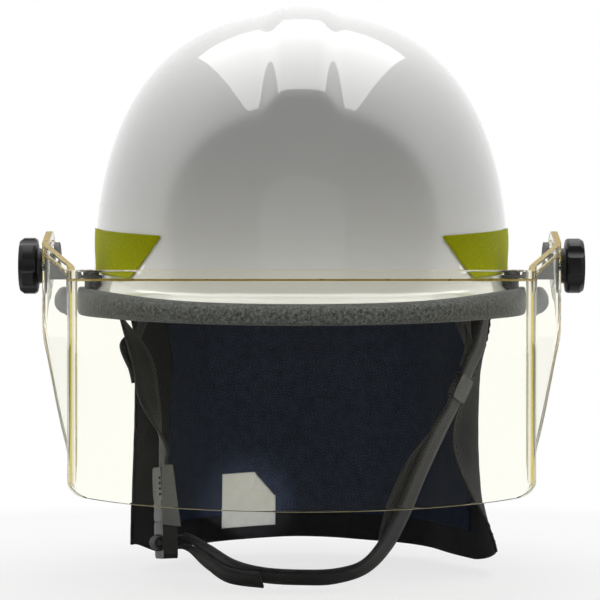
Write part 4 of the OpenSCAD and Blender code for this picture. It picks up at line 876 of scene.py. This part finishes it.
def stitch_row(bm, length, start, end, count):
    """Sews a row of stitches over the outer face between two places of the curtain."""
    for i in range(count):
        ends = []
        for share in (i / count, (i + STITCH_SHARE) / count):
            s, t = mix(start[0], end[0], share), mix(start[1], end[1], share)
            ends.append(cloth_point(s, t, 0.22, 0.5))
        lie = (ends[1] - ends[0]).to_track_quat("X", "Z").to_matrix().to_4x4()
        size = Matrix.Diagonal((length / 2, 0.33 * MM, 0.33 * MM, 1))
        bmesh.ops.create_icosphere(bm, subdivisions=1, radius=1, matrix=Matrix.Translation(
            (ends[0] + ends[1]) / 2 * MM) @ lie @ size)


class HELMET_OT_curtain(bpy.types.Operator):
    """Neck curtain with its hem, flannel lining and bare label"""
    bl_idname = "helmet.curtain"
    bl_label = "Neck curtain"

    def execute(self, context):
        sizes = context.scene.helmet_cloth
        outer_cloth = woven_finish("Aramid twill", sizes.shell_cloth, "#333338", sizes.thread,
                                   sizes.thread * 0.8, 0.85, 0.2, 0.15)
        bm = curtain_grid(0, 1, 0, 1, 190, 88, 0, 0.5)
        curtain = add_piece("curtain_cloth", bm, "helmet", outer_cloth,
                            ["neck_curtain"])
        thicken(curtain, CLOTH_T * MM)
        flannel = woven_finish("Navy flannel", sizes.lining, "#3B4868", 0.9 * MM, 0.9 * MM,
                               0.95, 0.004, 0.12, 0.02)
        bm = curtain_grid(5 / 40, 35 / 40, 1 / 11, 10 / 11, 150, 70, -CLOTH_T - 0.45, 0.5)
        lining = add_piece("lining_cloth", bm, "helmet", flannel,
                           ["curtain_lining"])
        thicken(lining, LINING_T * MM)
        tape = woven_finish("Woven label tape", "#F2F1EC", "#FFFFFD", 0.5 * MM, 0.5 * MM,
                            0.7, 0.08, 0.2)
        bm = curtain_grid(24 / 40, 29 / 40, 0.5 / 11, 2.6 / 11, 40, 40, -CLOTH_T - 2.2, 0.3,
                          folded_corner)
        label = add_piece("label_cloth", bm, "helmet", tape, ["curtain_label"])
        thicken(label, LABEL_T * MM).use_even_offset = False
        bm = bmesh.new()
        pace = sizes.stitch / STITCH_SHARE
        for start, end, long in SEAMS:
            stitch_row(bm, sizes.stitch, start, end, round(long * MM / pace))
        for f in bm.faces:
            f.smooth = True
        add_piece("curtain_stitches", bm, "helmet", thread_finish())
        return {"FINISHED"}


# Chin strap webs

def turned(a, b, c, v):
    """A direction turned by c about Z, then by a about X, then by b about Y."""
    return (Matrix.Rotation(b, 3, "Y") @ Matrix.Rotation(a, 3, "X")
            @ Matrix.Rotation(c, 3, "Z")) @ Vector(v)


ANCHORS = ((-14, 3), (16, -7))
LINER_W, LINER_FRONT, LINER_BACK = 101.3, 117.4, 125.8
BUCKLE_AT = Vector((-76.5, -40, -94))
BUCKLE_WAY = Vector((2, -5, -52)).normalized()
BUCKLE_TURNS = (asin(BUCKLE_WAY.y), -atan2(BUCKLE_WAY.x, -BUCKLE_WAY.z), radians(-76))
BUCKLE_WIDE = turned(*BUCKLE_TURNS, (-1, 0, 0))
BUCKLE_T, FEMALE_L, MALE_L = 8, 30, 20
SLIDE_AT = Vector((91.5, -31, -44))
SLIDE_WAY = Vector((13.9, 3, 30.6)).normalized()
SLIDE_TURNS = (asin(-SLIDE_WAY.y), -atan2(-SLIDE_WAY.x, SLIDE_WAY.z), radians(68))
SLIDE_WIDE = turned(*SLIDE_TURNS, (1, 0, 0))
SLIDE_END = SLIDE_AT - SLIDE_WAY * 14
LEFT_SEAM = (Vector((-89.5, -31, -34)), Vector((-85, -33.5, -56)))
LEFT_WAY = (LEFT_SEAM[1] - LEFT_SEAM[0]).normalized()
LEFT_WIDE = Vector((0.5, 0.86, 0.1))
CHEEK_WIDE = Vector((0.35, 0.9, -0.3))
SIDE_STEP = 2.4
WEB_W, WEB_T = 19, 1.6


def anchor_loop(k, side):
    """Route of a web over the bar of its anchor, and the direction of its width."""
    turn, back = ANCHORS[k]
    a = radians(turn)
    long = LINER_T / 2 + (LINER_FRONT if turn < 0 else LINER_BACK)
    x, y = (LINER_W + LINER_T / 2) * cos(a), long * sin(a)
    f = atan2(y / (long - LINER_T / 2) ** 2, x / LINER_W ** 2)
    mid, z0, r = back - 1, 4.5, 2.5
    flat = ([(mid + r, z0 - 9)]
            + [(mid + r * cos(u), z0 + r * sin(u))
               for u in [radians(d) for d in range(0, 181, 45)]] + [(mid - r, z0 - 10)])
    points = [Vector((side * (x + q * cos(f)), y + q * sin(f), z)) for q, z in flat]
    return points, [Vector((-side * sin(f), cos(f), 0))] * len(points)


def in_buckle(x, y, z):
    return BUCKLE_AT + turned(*BUCKLE_TURNS, (x, y, z))


def slot_z(level):
    return -FEMALE_L - 0.3 - MALE_L + level + 1.5


def web_routes():
    """Each web's name, points and widths, as the frame has them."""
    left = LEFT_WIDE.cross(LEFT_WAY).normalized() * SIDE_STEP
    right = SLIDE_WAY.cross(SLIDE_WIDE).normalized() * SIDE_STEP
    low, high = slot_z(4.2), slot_z(10.3)
    r, mid = (high - low) / 2, (high + low) / 2
    flat_z = Vector((0, 0.45, -0.9))
    loop, wide = {}, {}
    for k in (0, 1):
        for side in (1, -1):
            loop[k, side], wide[k, side] = anchor_loop(k, side)
    chin_low = Vector((0, 0.87, -0.5))
    chin = (vectors((-22, -60, -154.2), (-40, -56, -152), (-52, -49, -145.5))
            + [in_buckle(0, y, z) for y, z in ((12, low - 1), (7, low), (BUCKLE_T / 2, low))]
            + [in_buckle(0, -BUCKLE_T / 2 - r * cos(u), mid + r * sin(u))
               for u in [radians(d) for d in range(-90, 91, 45)]]
            + [in_buckle(0, y, z) for y, z in ((BUCKLE_T / 2, high), (7, high), (12, high - 1))]
            + vectors((-50, -49, -140.5), (-36, -56, -148), (-20, -60, -151.5),
                      (0, -61.5, -152.5), (18, -60.5, -152), (34, -56, -147.5),
                      (46, -50, -136), (56, -44, -119), (66, -39, -96), (76, -35, -75))
            + [SLIDE_END + SLIDE_WAY * d for d in (-7, -2, 4)])
    chin_wide = ([chin_low, chin_low, Vector((-0.1, 0.9, -0.4))] + [BUCKLE_WIDE] * 11
                 + [Vector((-0.1, 0.9, -0.4))] + [chin_low] * 4 + [Vector((0.2, 0.9, -0.4))]
                 + [CHEEK_WIDE] * 4 + [SLIDE_WIDE] * 3)
    tail = vectors((75.2, -35.3, -76.6), (69, -36.4, -84), (60.2, -39.6, -96),
                   (51.6, -44.2, -114), (47.2, -48, -128), (45.6, -50.2, -136.4))
    return {
        "web_left_front": (
            loop[0, -1] + list(LEFT_SEAM)
            + [BUCKLE_AT + BUCKLE_WAY * d for d in (-12, -4, 4)],
            wide[0, -1] + [LEFT_WIDE] * 2 + [BUCKLE_WIDE] * 3),
        "web_left_rear": (
            loop[1, -1] + [Vector((-94.5, 12, -19)), Vector((-95.5, -12, -28)),
                           LEFT_SEAM[0] - LEFT_WAY * 3 + left * 2.4,
                           LEFT_SEAM[0] + LEFT_WAY * 5 + left * 1.2,
                           LEFT_SEAM[0] + LEFT_WAY * 13 + left * 1.1],
            wide[1, -1] + [flat_z, flat_z, LEFT_WIDE - Vector((0, 0, 0.3)), LEFT_WIDE,
                           LEFT_WIDE]),
        "web_right_front": (
            loop[0, 1] + [SLIDE_AT + SLIDE_WAY * d for d in (20, 10, 4, -4)],
            wide[0, 1] + [SLIDE_WIDE] * 4),
        "web_right_rear": (
            loop[1, 1] + [Vector((94, 12, -17)), Vector((95, -12, -22)),
                          SLIDE_AT + SLIDE_WAY * 20 + right * 2.4,
                          SLIDE_AT + SLIDE_WAY * 12 + right * 1.3,
                          SLIDE_AT + SLIDE_WAY * 4 + right],
            wide[1, 1] + [flat_z, flat_z] + [SLIDE_WIDE] * 3),
        "chin_web": (chin, chin_wide),
        "chin_tail": (tail, [CHEEK_WIDE] * len(tail)),
    }


def along(points, s):
    k = min(len(points) - 2, int(s))
    t = s - k
    a, b, c, d = (points[max(0, k - 1)], points[k], points[k + 1],
                  points[min(len(points) - 1, k + 2)])
    return 0.5 * (2 * b + (c - a) * t + (2 * a - 5 * b + 4 * c - d) * t * t
                  + (3 * b - a - 3 * c + d) * t ** 3)


def web_mesh(route, spread, steps):
    """A web with rounded selvedges along a route, its UV map in metres."""
    span = len(route) - 1
    half_w, half_t = WEB_W / 2, WEB_T / 2
    section = ([(-half_w + 0.3, -half_t), (-half_w / 2, -half_t), (0, -half_t),
                (half_w / 2, -half_t), (half_w - 0.3, -half_t), (half_w, -half_t * 0.45),
                (half_w, half_t * 0.45)])
    section += [(-x, -z) for x, z in section]
    places = []
    for i in range(steps + 1):
        s = span * i / steps
        ahead = (along(route, min(span, s + 0.02)) - along(route, max(0, s - 0.02))).normalized()
        w = along(spread, s)
        w = (w - ahead * w.dot(ahead)).normalized()
        places.append((along(route, s), w, ahead.cross(w)))
    long = sum((places[i + 1][0] - places[i][0]).length for i in range(steps))

    def place(s, t):
        p, w, n = places[round(s * steps)]
        x, z = section[round(t * len(section)) % len(section)]
        return p + w * x + n * z
    bm = grid_mesh(steps, len(section), place, (long * MM, 2 * (WEB_W + WEB_T) * MM))
    close_up(bm)
    bmesh.ops.holes_fill(bm, edges=bm.edges, sides=0)
    bmesh.ops.recalc_face_normals(bm, faces=bm.faces)
    return bm


class HELMET_OT_webs(bpy.types.Operator):
    """Woven webs of the chin strap, looped through anchors and buckle"""
    bl_idname = "helmet.webs"
    bl_label = "Chin strap webs"

    def execute(self, context):
        web = woven_finish("Polyester webbing", "#18181A", "#333337", 1.6 * MM, 1.6 * MM,
                           0.7, 0.25, 0.25)
        for name, (route, spread) in web_routes().items():
            bm = web_mesh(route, spread, (len(route) - 1) * 9)
            add_piece(name.replace("web", "webbing"), bm, "helmet", web,
                      [name] if name != "chin_tail" else [])
        return {"FINISHED"}


# Pads

BAND_W, BAND_L, BAND_H = 77, 97, 28
PAD_GAP, NAPE_Y = 0.3, 92.8
STRAP_TOP, STRAP_FOOT, STRAP_REACH, STRAP_POWER = 115.4, 17, 76, 0.85


def band_place(turn, out):
    """Point out from the inner face of the headband in a given direction."""
    a = radians(turn)
    r = 1 / sqrt((cos(a) / BAND_W) ** 2 + (sin(a) / BAND_L) ** 2)
    x, y = r * cos(a), r * sin(a)
    f = atan2(y / BAND_L ** 2, x / BAND_W ** 2)
    return x + out * cos(f), y + out * sin(f)


def cushion_mesh(cols, rows, back, front):
    """A pad between two faces, closed round its rim, with its UV map in metres."""
    def place(s, t):
        k = round(t * 2 * rows)
        return back(s, k / rows) if k <= rows else front(s, (2 * rows - k) / rows)
    bm = grid_mesh(cols, 2 * rows, place, (0.15, 0.06))
    close_up(bm, 0.02 * MM)
    return bm


class HELMET_OT_pads(bpy.types.Operator):
    """Brow pad, nape pad and crown pad"""
    bl_idname = "helmet.pads"
    bl_label = "Pads"

    def execute(self, context):
        cotton = woven_finish("Brushed cotton", "#1B1B1E", "#2E2E34", 1.4 * MM, 1.4 * MM, 0.95,
                              0.2, 0.5)

        def brow(s, t, thick):
            x, y = band_place(mix(218, 322, s), -PAD_GAP - thick)
            return x, y, mix(-BAND_H / 2 + 1, 1, t)

        def brow_bulge(s, t):
            return 0.4 + 3.6 * max(0, sin(pi * t) * min(1, 6 * sin(pi * s))) ** 0.5

        def nape(s, t, thick):
            return mix(18, -18, s), NAPE_Y - PAD_GAP - thick, mix(-13, 13, t)

        def nape_bulge(s, t):
            return 0.4 + 4 * max(0, sin(pi * s) * sin(pi * t)) ** 0.4

        def crown(s, t, side):
            u = 2 * pi * s
            x, y = 36 * t * cos(u), 44 * t * sin(u)
            w = sqrt(max(0, 1 - t ** 4))
            ratio = min(1, (hypot(x, y) / STRAP_REACH) ** (1 / STRAP_POWER))
            fall = (STRAP_TOP - STRAP_FOOT) * (1 - sin(acos(ratio)) ** STRAP_POWER)
            return x, y, STRAP_TOP - fall - (1.6 * (1 - w) if side > 0 else 2 + 5 * w)
        for name, cols, rows, back, front, fill in (
                ("brow", 120, 14, lambda s, t: brow(s, t, 0),
                 lambda s, t: brow(s, t, brow_bulge(s, t)), 0.7),
                ("nape", 40, 24, lambda s, t: nape(s, t, 0),
                 lambda s, t: nape(s, t, nape_bulge(s, t)), 0.7),
                ("crown", 72, 16, lambda s, t: crown(s, t, 1), lambda s, t: crown(s, t, -1),
                 0.6)):
            bm = cushion_mesh(cols, rows, back, front)
            pad = add_piece(name + "_cushion", bm, "helmet", cotton,
                            [name + "_pad"])
        return {"FINISHED"}


# Finishes of the pieces that keep their solids

class HELMET_OT_hardware(bpy.types.Operator):
    """Finishes of brackets, knobs, fasteners, suspension and ratchet"""
    bl_idname = "helmet.hardware"
    bl_label = "Hardware finishes"

    def execute(self, context):
        nylon = moulded_black_finish("Moulded nylon", "#121213", 0.9 * MM, 0.42)
        knob = moulded_black_finish("Knob nylon", "#0C0C0D", 0.8 * MM, 0.34)
        steel, coat = plated_steel_finish(), powder_coat_finish()
        strap = woven_finish("Suspension webbing", "#1B1B1D", "#303033", 1.6 * MM, 1.6 * MM)
        tag = woven_finish("Grey tag tape", "#6A6B6A", "#808180", 0.6 * MM, 0.6 * MM, 0.8,
                           0.08, 0.2)
        finishes = (
            (coat, "bracket_left bracket_right bracket_screws"),
            (steel, "bracket_nuts pivot_bolts washers_inner washers_outer hanger_rivets "
                    "ratchet_screws ring_rivets hanging_ring"),
            (knob, "knob_left knob_right ratchet_knob"),
            (nylon, "headband strap_hangers ratchet_base ratchet_cover chin_anchors "
                    "buckle_female buckle_male strap_slide"),
            (strap, "crown_strap_long crown_strap_left crown_strap_right ring_bracket"),
            (acetal_finish(), "pinion rack_left rack_right"),
            (trim_rubber_finish(), "bracket_pads"),
            (liner_foam_finish(), "impact_liner"),
            (tag, "strap_tag"),
        )
        for material, names in finishes:
            for name in names.split():
                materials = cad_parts[name].data.materials
                materials.clear()
                materials.append(material)
        return {"FINISHED"}


STEPS = ("stage", "shell", "edge_trim", "reflective_trims", "faceshield", "curtain", "webs",
         "pads", "hardware")


class HELMET_PT_panel(bpy.types.Panel):
    """Shows the sizes and colours, and the steps that build the helmet"""
    bl_label = "Fire helmet"
    bl_idname = "HELMET_PT_panel"
    bl_space_type = "VIEW_3D"
    bl_region_type = "UI"
    bl_category = "Helmet"

    def draw(self, context):
        for name, group in GROUPS.items():
            box = self.layout.box()
            for setting in group.__annotations__:
                box.prop(getattr(context.scene, name), setting)
        for step in STEPS:
            self.layout.operator("helmet." + step)


CLASSES = (ShellSizes, VisorSizes, ClothSizes, HELMET_OT_stage, HELMET_OT_shell,
           HELMET_OT_edge_trim, HELMET_OT_reflective_trims, HELMET_OT_faceshield,
           HELMET_OT_curtain, HELMET_OT_webs, HELMET_OT_pads, HELMET_OT_hardware,
           HELMET_PT_panel)
GROUPS = {"helmet_shell": ShellSizes, "helmet_visor": VisorSizes, "helmet_cloth": ClothSizes}


def register():
    for cls in CLASSES:
        bpy.utils.register_class(cls)
    for name, group in GROUPS.items():
        setattr(bpy.types.Scene, name, bpy.props.PointerProperty(type=group))


def unregister():
    for name in GROUPS:
        delattr(bpy.types.Scene, name)
    for cls in reversed(CLASSES):
        bpy.utils.unregister_class(cls)


def main():
    register()
    for step in STEPS:
        getattr(bpy.ops.helmet, step)()
    bpy.context.view_layer.update()


if __name__ == "__main__":
    main()
